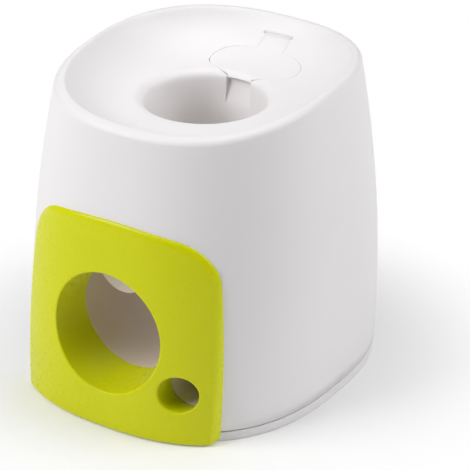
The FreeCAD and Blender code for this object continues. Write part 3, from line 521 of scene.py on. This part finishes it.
NOTCH = LIP_HALF + GAP
RING = BORE_RADIUS + BORE_ROUNDING
ROUND_Z = BOWL_Z - BORE_ROUNDING


def bore_radius(z):
    """The throat narrows evenly below its rounded edge."""
    return BORE_RADIUS - (BORE_RADIUS - THROAT_RADIUS) * (ROUND_Z - z) / (ROUND_Z - THROAT_END)


def skin_z(plan, depth=0.0):
    """Height over a plan point of the dish, or of the bore's rounding inside its ring, sunk by a depth."""
    r = np.hypot(plan[:, 0], plan[:, 1] - BORE_Y)
    rounded = ROUND_Z + np.sqrt(np.maximum((BORE_ROUNDING - depth) ** 2 - (RING - r) ** 2, 0))
    return np.where(r < RING, rounded, bowl_z(plan[:, 0], plan[:, 1]) - depth)


def unroll(plan):
    """Plan with the rounding laid flat: inside the ring R, r becomes R - k asin((R - r) / k)."""
    x, y = plan[:, 0], plan[:, 1] - BORE_Y
    r = np.hypot(x, y)
    flat = np.where(r < RING, RING - BORE_ROUNDING * np.arcsin(np.clip((RING - r) / BORE_ROUNDING, 0, 1)), r)
    return np.stack([x * flat / r, BORE_Y + y * flat / r], -1)


def rolled(flat):
    """Unrolled plan points put back on the dish and on the rounding, whose angle is (R - s) / k."""
    x, y = flat[:, 0], flat[:, 1] - BORE_Y
    s = np.hypot(x, y)
    turn = np.clip((RING - s) / BORE_ROUNDING, 0, math.pi / 2)
    r = np.where(s < RING, RING - BORE_ROUNDING * np.sin(turn), s)
    height = np.where(s < RING, ROUND_Z + BORE_ROUNDING * np.cos(turn), bowl_z(x, y + BORE_Y))
    return np.stack([x * r / s, BORE_Y + y * r / s, height], -1)


def lift(plan, depth=0.0):
    """Plan points put on the skin, sunk by a depth."""
    return np.concatenate([plan, skin_z(plan, depth)[:, None]], 1)


def ledge(plan):
    """Floor of the lid's recess: the skin sunk by its depth, but nowhere under the lip's lower edge."""
    floor_z = np.maximum(skin_z(plan, RECESS), LIP_BOTTOM - GAP)
    return np.concatenate([plan, floor_z[:, None]], 1)


def mirrored(run):
    """A plan run on the other side of the middle, in the opposite order."""
    return (run * np.array([-1, 1]))[::-1]


def both_sides(surface):
    """A surface and its mirror image."""
    points, faces = surface
    return [(points, faces), (points * np.array([-1, 1, 1]), faces[:, ::-1])]


def oval_angle(x, half_width, half_depth, side):
    """Angle about the lid's middle at which its oval |x/a|^n + |y/b|^n = 1 has an X, in front or behind."""
    y = side * half_depth * (1 - (x / half_width) ** LID_POWER) ** (1 / LID_POWER)
    return math.atan2(y, x)


BACK_BLEND = 1.6


def lid_side(grow, back_grow):
    """Right half of the lid's plan, grown: the oval from the lip to the tab, then the tab's side."""
    start = oval_angle(LIP_HALF + grow, LID_HALF_WIDTH + grow, LID_HALF_DEPTH + grow, -1)
    end = oval_angle(TAB_HALF + grow, LID_HALF_WIDTH + back_grow, LID_HALF_DEPTH + back_grow, 1)
    angle = np.linspace(start, end, 70)
    wide = grow + (back_grow - grow) * np.clip(BACK_BLEND * np.sin(angle), 0, 1) ** 2
    r = (np.abs(np.cos(angle) / (LID_HALF_WIDTH + wide)) ** LID_POWER
         + np.abs(np.sin(angle) / (LID_HALF_DEPTH + wide)) ** LID_POWER) ** (-1 / LID_POWER)
    oval = np.stack([r * np.cos(angle), LID_Y + r * np.sin(angle)], -1)
    return oval, line(oval[-1], (TAB_HALF + grow, TAB_BACK + grow), 14)


BORE_T = np.linspace(0, 1, 170)


def bore_row(radius, z):
    """Ring round the bore from the notch's right side, at the angle asin(x / r) from +Y, round to its left."""
    start = np.arcsin(NOTCH / radius)
    angle = start + BORE_T * (2 * math.pi - 2 * start)
    return np.concatenate([bore_arc(radius, angle), np.full((len(angle), 1), z)], 1)


# edge of the lid's recess, and of the notch in the bore's rounding that its lip lies in
OVAL, TAB_SIDE = lid_side(GAP, GAP)
TAB_END = line(TAB_SIDE[-1], TAB_SIDE[-1] * np.array([-1, 1]), 20)
NOTCH_STEPS = 6
NOTCH_END = math.asin((RING - math.hypot(OVAL[0, 0], OVAL[0, 1] - BORE_Y)) / BORE_ROUNDING)
NOTCH_RADIUS = RING - BORE_ROUNDING * np.sin(np.linspace(math.pi / 2, NOTCH_END, NOTCH_STEPS))
NOTCH_EDGE = np.stack([np.full(NOTCH_STEPS, NOTCH), BORE_Y + np.sqrt(NOTCH_RADIUS ** 2 - NOTCH ** 2)], -1)
NOTCH_EDGE[-1] = OVAL[0]
# rings of scattered points: shares of the trimmed spread, and radii about the bore
DISH_SHARES = (0.93, 0.85, 0.76, 0.66, 0.55, 0.44, 0.33, 0.22, 0.12, 0.04, 0.0)
BORE_RINGS = RING + 2.2 - 1.1 * np.arange(11)
RING_POINTS = 200


def dish_points():
    """Scattered plan points on rings of the dish, over its floor and down the unrolled rounding."""
    angle = np.linspace(0, 2 * math.pi, RING_POINTS, endpoint=False)
    rings = []
    for number, share in enumerate(DISH_SHARES):
        shifted = angle + (number % 2) * math.pi / RING_POINTS
        rings.append(bowl_ring(shifted, share * trim_spread(shifted))[:, :2])
    for number, radius in enumerate(BORE_RINGS):
        shifted = angle + (number % 2) * math.pi / RING_POINTS
        rings.append(np.stack([radius * np.cos(shifted), BORE_Y + radius * np.sin(shifted)], -1))
    return np.concatenate(rings)


def shell_dish():
    """Middle of the dish and the bore's rounding, trimmed by the lid's recess and the bore."""
    bore = unroll(bore_row(BORE_RADIUS, ROUND_Z)[:, :2])
    right = unroll(np.concatenate([NOTCH_EDGE[1:-1], OVAL[:-1], TAB_SIDE[:-1]]))
    left = unroll(np.concatenate([mirrored(TAB_SIDE)[:-1], mirrored(OVAL)[:-1], mirrored(NOTCH_EDGE)[:-1]]))
    hole = np.concatenate([right, unroll(TAB_END)[:-1], left, bore[::-1]])
    outer = bowl_ring(TURN, trim_spread(TURN))[:, :2]
    plan, faces = trimmed(outer, [hole], dish_points())
    return rolled(plan), faces


def throat_line(x, z):
    """Y of the bore's back wall at a place: a circle about the bore."""
    return BORE_Y + np.sqrt(bore_radius(z) ** 2 - x ** 2)


def scoop_line(x, z):
    """Back of the finger scoop: a circle about the bore whose extra radius grows evenly with height."""
    extra = SCOOP_DEPTH * np.clip((z - SCOOP_BOTTOM) / (SCOOP_TOP - SCOOP_BOTTOM), 0, 1)
    return BORE_Y + np.sqrt((bore_radius(z) + extra) ** 2 - x ** 2)


def across(row, z):
    """Points of a line across the notch at a height."""
    return np.stack([NOTCH_X, row(NOTCH_X, z), np.full(NOTCH_X.shape, z)], -1)


NOTCH_X = np.linspace(NOTCH, -NOTCH, 15)
SCOOP_Z = np.linspace(SCOOP_BOTTOM, SCOOP_TOP, 8)
UPPER_Z = np.linspace(ROUND_Z, SCOOP_BOTTOM, 6)
LOWER_Z = np.linspace(SCOOP_BOTTOM, THROAT_END, 6)
LEDGE_FRONT = np.stack([NOTCH_X, scoop_line(NOTCH_X, SCOOP_TOP)], -1)
LEDGE_CORNER = line(LEDGE_FRONT[0], OVAL[0], 5)


def shell_bore():
    """Bore wall with the finger scoop, whose back leans out of the wall and whose sides are flat."""
    surfaces = [grid(np.stack([bore_row(bore_radius(z), z) for z in np.concatenate([UPPER_Z, LOWER_Z[1:]])]))]
    surfaces.append(grid(np.stack([across(throat_line, z) for z in LOWER_Z])))
    back = np.stack([across(scoop_line, z) for z in SCOOP_Z])
    surfaces += [grid(back), ruled(back[-1], ledge(LEDGE_FRONT), 3)]
    # flat side of the scoop, outlined in Y and Z
    wall_edge = np.stack([throat_line(NOTCH, UPPER_Z), UPPER_Z], -1)[::-1]
    rim = lift(NOTCH_EDGE)[1:, 1:]
    floor_edge = ledge(LEDGE_CORNER)[::-1, 1:]
    back_edge = np.stack([scoop_line(NOTCH, SCOOP_Z), SCOOP_Z], -1)[::-1]
    outline = np.concatenate([wall_edge, rim, floor_edge, line(floor_edge[-1], back_edge[0], 3)[1:],
                              back_edge[1:-1]])
    plan, faces = trimmed(outline, [], np.zeros((0, 2)))
    side = np.concatenate([np.full((len(plan), 1), NOTCH), plan], 1)
    return surfaces + both_sides((side, faces))


# scattered points of the ledge: circles about the lid's middle, and arcs about the bore below the lip
LEDGE_RINGS = (25.5, 24.3)
LEDGE_ARCS = (39.4, 40.2, 41.2, 42.3)
LEDGE_FAN = np.linspace(-0.44, 0.44, 40)


def shell_recess():
    """Step down round the lid, and the ledge at its foot with the straight-walled mouth of the hopper."""
    run = np.concatenate([OVAL, TAB_SIDE[1:]])
    surfaces = both_sides(ruled(lift(run), ledge(run)))
    side = np.concatenate([LEDGE_CORNER, run[1:], [[NOTCH + TAB_HALF - LIP_HALF, SLOT_FRONT]]])
    outline = np.concatenate([LEDGE_FRONT[:0:-1], side, mirrored(side)[:-1]])
    mouth = arc((0, MOUTH_Y), MOUTH_RADIUS, math.degrees(math.asin((MOUTH_FRONT - MOUTH_Y) / MOUTH_RADIUS)),
                math.degrees(math.asin((MOUTH_BACK - MOUTH_Y) / MOUTH_RADIUS)), 30)
    mouth = np.concatenate([mouth, mirrored(mouth)])
    scattered = np.concatenate([arc((0, LID_Y), r, 0, 354, 60) for r in LEDGE_RINGS]
                               + [bore_arc(r, LEDGE_FAN) for r in LEDGE_ARCS])
    plan, faces = trimmed(outline, [mouth], scattered, 0.5)
    closed = np.concatenate([mouth, mouth[:1]])
    return surfaces + [(ledge(plan), faces), ruled(ledge(closed), lift(closed, RECESS + MOUTH_DEPTH))]


SLOT_BEND = 30
SLOT_ACROSS = 20


def shell_slot():
    """Hinge slot: the arc (y + r cos t, z + r sin t) of a cylinder about the hinge's axis, and two flat ends."""
    half = TAB_HALF + GAP
    back = TAB_BACK + GAP
    high = lift(np.array([[0.0, back]]))[0, 2]
    low = lift(np.array([[0.0, SLOT_FRONT]]), RECESS)[0, 2]
    start = math.atan2(high - HINGE_Z, back - HINGE_Y)
    end = math.atan2(low - HINGE_Z, SLOT_FRONT - HINGE_Y)
    bend = np.linspace(start, end if end < 0 else end - 2 * math.pi, SLOT_BEND)
    slot_y = HINGE_Y + SLOT_RADIUS * np.cos(bend)
    slot_z = HINGE_Z + SLOT_RADIUS * np.sin(bend)
    slot_y[0], slot_z[0] = back, lift(np.array([[half, back]]))[0, 2]
    slot_y[-1], slot_z[-1] = SLOT_FRONT, lift(np.array([[half, SLOT_FRONT]]), RECESS)[0, 2]
    x = np.linspace(half, -half, SLOT_ACROSS)[:, None]
    slot = np.stack(np.broadcast_arrays(x, slot_y, slot_z), -1)
    # each end is ruled from the slot's arc to evenly spaced points along the tab's side and the ledge
    path = np.concatenate([lift(TAB_SIDE[::-1]), ledge(TAB_SIDE[:1]), slot[:1, -1]])
    length = np.concatenate([[0], np.cumsum(np.linalg.norm(np.diff(path, axis=0), axis=1))])
    even = np.linspace(0, length[-1], SLOT_BEND)
    spaced = np.stack([np.interp(even, length, path[:, k]) for k in range(3)], -1)
    return [grid(slot)] + both_sides(ruled(spaced, slot[0]))


def make_shell():
    """Housing: turned wall and crest, dish, bore, the lid's recess and the hinge slot, as one skin."""
    surfaces = [shell_turned(), shell_dish()] + shell_bore() + shell_recess() + shell_slot()
    piece("housing_skin", surfaces, "housing", WHITE, ["body_shell"], thickness=SKIN_WALL)


# ---------------------------------------------------------------- treat lid

RIM_STEPS = 36
KNUCKLE_STEPS = 40
# scattered points of the lid: a square grid, and arcs about the bore over the lip
LID_X = np.arange(-28, 28.1, 2.0)
LID_ROWS = np.arange(44, 82, 2.0)
LIP_ARCS = np.arange(35.9, 43, 0.9)
LIP_FAN = np.linspace(-0.46, 0.46, 34)


def lid_rim():
    """Two curved ribs under the lid: a section of (outward, depth under the skin) carried along an arc."""
    start = math.asin((MOUTH_FRONT + RIM_SHORTER - MOUTH_Y) / RIM_RADIUS)
    end = math.asin((MOUTH_BACK - RIM_SHORTER - MOUTH_Y) / RIM_RADIUS)
    angle = np.linspace(start, end, RIM_STEPS)
    strip = ((0.0, RIM_START), (0.0, RIM_DROP - RIM_EASE), (-RIM_EASE, RIM_DROP),
             (-RIM_WALL + RIM_EASE, RIM_DROP), (-RIM_WALL, RIM_DROP - RIM_EASE), (-RIM_WALL, RIM_START),
             (0.0, RIM_START))
    rows = []
    for outward, depth in strip:
        radius = RIM_RADIUS + outward
        plan = np.stack([radius * np.cos(angle), MOUTH_Y + radius * np.sin(angle)], -1)
        rows.append(lift(plan, depth))
    points, faces = grid(np.stack(rows))
    caps = [np.array([[0, 1, 2, 5], [2, 3, 4, 5]]) * RIM_STEPS + shift for shift in (0, RIM_STEPS - 1)]
    return both_sides((points, np.concatenate([faces] + caps)))


def knuckle():
    """Hinge barrel turned about the hinge's axis: radius over x, with a pin hole and eased ends."""
    shoulder = KNUCKLE_RADIUS - KNUCKLE_EASE
    profile = ((TAB_HALF, PIN_HOLE), (TAB_HALF, shoulder), (TAB_HALF - KNUCKLE_EASE, KNUCKLE_RADIUS),
               (-TAB_HALF + KNUCKLE_EASE, KNUCKLE_RADIUS), (-TAB_HALF, shoulder), (-TAB_HALF, PIN_HOLE),
               (TAB_HALF, PIN_HOLE))
    angle = np.linspace(0, 2 * math.pi, KNUCKLE_STEPS, endpoint=False)
    rows = [np.stack([np.full(KNUCKLE_STEPS, x), HINGE_Y + r * np.cos(angle), HINGE_Z + r * np.sin(angle)], -1)
            for x, r in profile]
    return grid(np.stack(rows), wrap=True)


def make_lid():
    """Lid plate on the dish's own surface, with the lip that rolls over the bore's edge, its tab and ribs."""
    oval, tab_side = lid_side(0.0, GAP - BACK_GAP)
    tab_end = line(tab_side[-1], tab_side[-1] * np.array([-1, 1]), 20)
    lip_radius = RING - math.sqrt(BORE_ROUNDING ** 2 - (LIP_BOTTOM - ROUND_Z) ** 2)
    lip_x = np.linspace(-LIP_HALF, LIP_HALF, 15)
    lip_end = np.stack([lip_x, BORE_Y + np.sqrt(lip_radius ** 2 - lip_x ** 2)], -1)
    lip_side = line(lip_end[-1], oval[0], 4)
    right = np.concatenate([lip_side[:-1], oval[:-1], tab_side[:-1]])
    left = np.concatenate([mirrored(tab_side)[:-1], mirrored(oval)[:-1], mirrored(lip_side)[:-1]])
    outline = unroll(np.concatenate([right, tab_end[:-1], left, lip_end[:-1]]))
    scattered = np.concatenate([plan_grid(LID_X, LID_ROWS)] + [bore_arc(r, LIP_FAN) for r in LIP_ARCS])
    plan, faces = trimmed(outline, [], scattered, 0.6)
    piece("lid_plate", [(rolled(plan), faces)], "lid", LID_WHITE, ["treat_lid"],
          thickness=LID_WALL, bevel=LID_EDGE)
    piece("lid_fittings", lid_rim() + [knuckle()], "lid", LID_WHITE, ["treat_lid"])


# ---------------------------------------------------------------- front panel

def circles_meet(first, first_radius, second, second_radius):
    """Right-hand point at both distances from two centres."""
    dx, dz = second[0] - first[0], second[1] - first[1]
    span = math.hypot(dx, dz)
    along = (first_radius ** 2 - second_radius ** 2 + span ** 2) / (2 * span)
    off = math.sqrt(first_radius ** 2 - along ** 2)
    return max((first[0] + (along * dx + s * off * dz) / span, first[1] + (along * dz - s * off * dx) / span)
               for s in (-1, 1))


def heading(start, end):
    """Direction from one plan point to another, in degrees from +X."""
    return math.degrees(math.atan2(end[1] - start[1], end[0] - start[0]))


# centres of the arcs of the panel's outline; the corner's lies inside both the side's and the top's
TOP_CENTRE = (0.0, PANEL_TOP - PANEL_TOP_RADIUS)
SIDE_CENTRE = (PANEL_HALF - PANEL_SIDE_RADIUS, PANEL_SIDE_Z)
CORNER_CENTRE = circles_meet(SIDE_CENTRE, PANEL_SIDE_RADIUS - PANEL_CORNER,
                             TOP_CENTRE, PANEL_TOP_RADIUS - PANEL_CORNER)
FOOT_Z = PANEL_BOTTOM + PANEL_FOOT
FOOT_REACH = math.sqrt((PANEL_SIDE_RADIUS - PANEL_FOOT) ** 2 - (FOOT_Z - PANEL_SIDE_Z) ** 2)
FOOT_CENTRE = (SIDE_CENTRE[0] + FOOT_REACH, FOOT_Z)
FOOT_TURN = heading(SIDE_CENTRE, FOOT_CENTRE)
CORNER_TURN = heading(SIDE_CENTRE, CORNER_CENTRE)
TOP_TURN = heading(TOP_CENTRE, CORNER_CENTRE)


def drawn_in(inset):
    """Front outline with crowned top, bowed sides, wide and small corners, all moved in by one distance."""
    right = [arc(FOOT_CENTRE, PANEL_FOOT - inset, -90, FOOT_TURN, 13),
             arc(SIDE_CENTRE, PANEL_SIDE_RADIUS - inset, FOOT_TURN, CORNER_TURN, 44),
             arc(CORNER_CENTRE, PANEL_CORNER - inset, CORNER_TURN, TOP_TURN, 26),
             arc(TOP_CENTRE, PANEL_TOP_RADIUS - inset, TOP_TURN, 90, 30)]
    right = np.concatenate([run[:-1] for run in right[:-1]] + [right[-1]])
    base = line(right[0] * np.array([-1, 1]), right[0], 48)
    return np.concatenate([base[:-1], right[:-1], mirrored(right)[:-1]])


OUTLINE = drawn_in(0.0)
ROLL_MIX = np.clip(OUTLINE[:, 1:] / PANEL_ROLL_HEIGHT, 0, 1)
ROLLED_OUTLINE = drawn_in(PANEL_ROLL_TOP) * ROLL_MIX + drawn_in(PANEL_ROLL_FOOT) * (1 - ROLL_MIX)


def panel_loop(share):
    """Front outline drawn in by a share of the rolled edge, which is narrower at the foot."""
    return OUTLINE * (1 - share) + ROLLED_OUTLINE * share


def proud(z):
    """How far the panel stands out from the housing: evenly less from its foot to its top."""
    return PANEL_PROUD_FOOT + (PANEL_PROUD_TOP - PANEL_PROUD_FOOT) * z / PANEL_TOP


def on_front(plan, grow):
    """Lifts front-view points on to the outer form, grown by an offset."""
    x, z = plan[..., 0], plan[..., 1]
    return np.stack([x, front(x, z, grow), z], -1)


def tube(mouth, back_centre, radius, back_radius, back_y, thick, rounding, count, slot=False):
    """Rounded mouth, tube and its outer side: rings whose centre and radius change evenly from mouth to back.

    Gives the surface and the plan loops in which it meets the panel's face and its back. A slot shortens the
    tube's upper side between the flap's edges."""
    angle = np.linspace(0, 2 * math.pi, count, endpoint=False)
    back = np.full(angle.shape, back_y)
    if slot:
        side = math.acos(FLAP_SLOT_HALF / radius)
        edges = [side, side + SLOT_STEP, math.pi - side - SLOT_STEP, math.pi - side]
        angle = np.sort(np.concatenate([angle, edges]))
        inside = (angle > side + SLOT_STEP / 2) & (angle < math.pi - side - SLOT_STEP / 2)
        back = np.where(inside, FLAP_SLOT_Y, back_y)

    def circle(r, share=0.0):
        """Plan points about a centre that lies a share of the way from the mouth's to the back's."""
        x = mouth[0] + (back_centre[0] - mouth[0]) * share + r * np.cos(angle)
        z = mouth[1] + (back_centre[1] - mouth[1]) * share + r * np.sin(angle)
        return np.stack([x, z], -1)

    def ring(plan, y):
        """Plan points given their Y."""
        return np.stack([plan[:, 0], y, plan[:, 1]], -1)

    rows = []
    for t in np.linspace(0, math.pi / 2, 8):
        plan = circle(radius + rounding * (1 - math.sin(t)))
        sunk = rounding * MOUTH_ROUND_SHARE * (1 - math.cos(t))
        rows.append(on_front(plan, proud(plan[:, 1]) - sunk))
    mouth_y = rows[-1][:, 1]
    for t in np.linspace(0, 1, 9)[1:]:
        y = mouth_y + (back - mouth_y) * t
        share = (y - mouth_y) / (back_y - mouth_y)
        rows.append(ring(circle(radius + (back_radius - radius) * share, share), y))
    rows.append(ring(circle(radius + (back_radius - radius) * share + thick, share), back))
    back_plan = circle(radius + thick)
    rows.append(on_front(back_plan, PANEL_BACK_GAP))
    return grid(np.stack(rows), wrap=True), circle(radius + rounding), back_plan


def make_panel():
    """Panel skin: rolled border, front face, two tubes and the back face against the shell."""
    border = []
    for t in np.linspace(0, 1, 14):
        loop = panel_loop(1 - math.cos(t * math.pi / 2))
        rise = math.sin(t * math.pi / 2) ** PANEL_ROLL_POWER
        border.append(on_front(loop, PANEL_BACK_GAP + (proud(loop[:, 1]) - PANEL_BACK_GAP) * rise))
    exit_tube, exit_front, exit_back = tube(
        (0, EXIT_MOUTH_Z), (0, EXIT_Z), EXIT_RADIUS, EXIT_BACK_RADIUS, EXIT_BACK_Y, EXIT_WALL, EXIT_ROUNDING,
        160, slot=True)
    outlet_tube, outlet_front, outlet_back = tube(
        (OUTLET_MOUTH_X, OUTLET_MOUTH_Z), (OUTLET_X, OUTLET_Z), OUTLET_RADIUS, OUTLET_BACK_RADIUS,
        OUTLET_BACK_Y, OUTLET_WALL, OUTLET_ROUNDING, 72)
    scattered = plan_grid(np.arange(-66, 66.1, 4.0), np.arange(4, 130, 4.0))
    plan, faces = trimmed(panel_loop(1.0), [exit_front, outlet_front], scattered, 1.5)
    face = (on_front(plan, proud(plan[:, 1])), faces)
    plan, faces = trimmed(panel_loop(0.0), [exit_back, outlet_back], scattered, 1.5)
    rear = (on_front(plan, PANEL_BACK_GAP), faces[:, ::-1])
    piece("panel_skin", [grid(np.stack(border), wrap=True), face, exit_tube, outlet_tube, rear], "housing",
          LIME, ["front_panel"])


# ---------------------------------------------------------------- base

def make_base():
    """Base tray: rings out under a low skirt, up its wall to the seam, and in again to the floor inside."""
    rings = [wall(TURN, np.full(COLUMNS, z), grow) for z, grow in TRAY_UNDER]
    for t in np.linspace(0, math.pi / 2, 5):
        rings.append(wall(TURN, TRAY_ROUND_Z - TRAY_ROUNDING * math.cos(t),
                          -TRAY_INSET - TRAY_ROUNDING * (1 - math.sin(t))))
    rings += [wall(TURN, np.full(COLUMNS, z), grow) for z, grow in TRAY_INSIDE]
    surfaces = [grid(np.stack(rings), wrap=True)]
    scattered = plan_grid(np.arange(-100, 100, 12.0), np.arange(-110, 110, 12.0))
    # underside, with its faces turned over, and floor inside
    for ring, step in ((rings[0], -1), (rings[-1], 1)):
        plan, faces = trimmed(ring[:, :2], [], scattered, 4.0)
        height = np.full((len(plan), 1), ring[0, 2])
        surfaces.append((np.concatenate([plan, height], 1), faces[:, ::step]))
    piece("base_tray", surfaces, "housing", WHITE, ["base_plate"])


make_shell()
make_lid()
make_panel()
make_base()


# ---------------------------------------------------------------- camera

# distances in metres, lens and sensor in millimetres
CAMERA_AZIMUTH = math.radians(33.14)
CAMERA_ELEVATION = math.radians(27.26)
CAMERA_DISTANCE = 1.4521
CAMERA_ASIDE = 0.01808
CAMERA_HEIGHT = 0.07987
CAMERA_LENS = 183.83
SENSOR_WIDTH = 36.0

back = Vector((math.sin(CAMERA_AZIMUTH) * math.cos(CAMERA_ELEVATION),
               -math.cos(CAMERA_AZIMUTH) * math.cos(CAMERA_ELEVATION), math.sin(CAMERA_ELEVATION)))
aside = Vector((math.cos(CAMERA_AZIMUTH), math.sin(CAMERA_AZIMUTH), 0))
camera = bpy.data.objects.new("camera", bpy.data.cameras.new("camera"))
bpy.context.scene.collection.objects.link(camera)
camera.data.lens = CAMERA_LENS
camera.data.sensor_width = SENSOR_WIDTH
camera.location = aside * CAMERA_ASIDE + Vector((0, 0, CAMERA_HEIGHT)) + back * CAMERA_DISTANCE
camera.rotation_mode = "QUATERNION"
camera.rotation_quaternion = (-back).to_track_quat("-Z", "Y")
camera.data.clip_start = 0.05
camera.data.clip_end = 20.0
bpy.context.scene.camera = camera


# ---------------------------------------------------------------- floor, world and lights

FLOOR_HALF = 4.0
FLOOR_WHITE = (0.96, 0.96, 0.96, 1)
FLOOR_ROUGHNESS = 0.6
# share of plain white near the object, and the distances between which it grows to the whole
WHITE_NEAR = 0.08
WHITE_FROM = 0.09
WHITE_TO = 0.21
PLAIN_WHITE = (1, 1, 1, 1)
SKY_STRENGTH = 0.1
LIGHT_AIM = (0.0, 0.0, 0.1)
# name, place, width and depth, watts
SOFTBOXES = (
    ("softbox_left", (-0.78, -0.93, 1.08), (0.9, 0.9), 15.2),
    ("softbox_right", (1.15, 0.55, 1.02), (0.8, 1.0), 10.5),
    ("softbox_top", (0.1, 0.1, 1.5), (1.2, 1.2), 7.0),
)


def white_to_camera(tree, surface):
    """Mixes white emission in for camera, glossy and transmission rays, its share growing with the distance."""
    place = tree.nodes.new("ShaderNodeTexCoord")
    away = tree.nodes.new("ShaderNodeVectorMath")
    away.operation = "LENGTH"
    tree.links.new(place.outputs["Object"], away.inputs[0])
    share = tree.nodes.new("ShaderNodeMapRange")
    share.interpolation_type = "SMOOTHSTEP"
    share.inputs["From Min"].default_value = WHITE_FROM
    share.inputs["From Max"].default_value = WHITE_TO
    share.inputs["To Min"].default_value = WHITE_NEAR
    tree.links.new(away.outputs["Value"], share.inputs["Value"])
    rays = tree.nodes.new("ShaderNodeLightPath")
    seen = rays.outputs["Is Camera Ray"]
    for kind in ("Is Glossy Ray", "Is Transmission Ray"):
        either = tree.nodes.new("ShaderNodeMath")
        either.operation = "MAXIMUM"
        tree.links.new(seen, either.inputs[0])
        tree.links.new(rays.outputs[kind], either.inputs[1])
        seen = either.outputs[0]
    scale = tree.nodes.new("ShaderNodeMath")
    scale.operation = "MULTIPLY"
    tree.links.new(seen, scale.inputs[0])
    tree.links.new(share.outputs["Result"], scale.inputs[1])
    glow = tree.nodes.new("ShaderNodeEmission")
    mix = tree.nodes.new("ShaderNodeMixShader")
    tree.links.new(scale.outputs[0], mix.inputs["Fac"])
    tree.links.new(surface, mix.inputs[1])
    tree.links.new(glow.outputs[0], mix.inputs[2])
    return mix.outputs[0]


floor_mesh = bpy.data.meshes.new("floor")
floor_mesh.from_pydata([(x * FLOOR_HALF, y * FLOOR_HALF, 0) for x, y in ((-1, -1), (1, -1), (1, 1), (-1, 1))],
                       [], [(0, 1, 2, 3)])
floor = bpy.data.objects.new("floor", floor_mesh)
bpy.context.scene.collection.objects.link(floor)
floor_material = bpy.data.materials.new("floor_white")
floor_material.use_nodes = True
tree = floor_material.node_tree
shader = tree.nodes["Principled BSDF"]
shader.inputs["Base Color"].default_value = FLOOR_WHITE
shader.inputs["Roughness"].default_value = FLOOR_ROUGHNESS
tree.links.new(white_to_camera(tree, shader.outputs[0]), tree.nodes["Material Output"].inputs["Surface"])
floor_mesh.materials.append(floor_material)

world = bpy.data.worlds.new("studio")
bpy.context.scene.world = world
world.use_nodes = True
tree = world.node_tree
sky = tree.nodes["Background"]
sky.inputs["Color"].default_value = PLAIN_WHITE
sky.inputs["Strength"].default_value = SKY_STRENGTH
rays = tree.nodes.new("ShaderNodeLightPath")
plain = tree.nodes.new("ShaderNodeBackground")
plain.inputs["Color"].default_value = PLAIN_WHITE
mix = tree.nodes.new("ShaderNodeMixShader")
tree.links.new(rays.outputs["Is Camera Ray"], mix.inputs["Fac"])
tree.links.new(sky.outputs[0], mix.inputs[1])
tree.links.new(plain.outputs[0], mix.inputs[2])
tree.links.new(mix.outputs[0], tree.nodes["World Output"].inputs["Surface"])

for name, place, size, watts in SOFTBOXES:
    lamp = bpy.data.lights.new(name, "AREA")
    lamp.shape = "RECTANGLE"
    lamp.size, lamp.size_y = size
    lamp.energy = watts
    light = bpy.data.objects.new(name, lamp)
    bpy.context.scene.collection.objects.link(light)
    light.location = place
    light.rotation_mode = "QUATERNION"
    light.rotation_quaternion = (Vector(LIGHT_AIM) - Vector(place)).to_track_quat("-Z", "Y")

bpy.context.scene.view_settings.view_transform = "Standard"
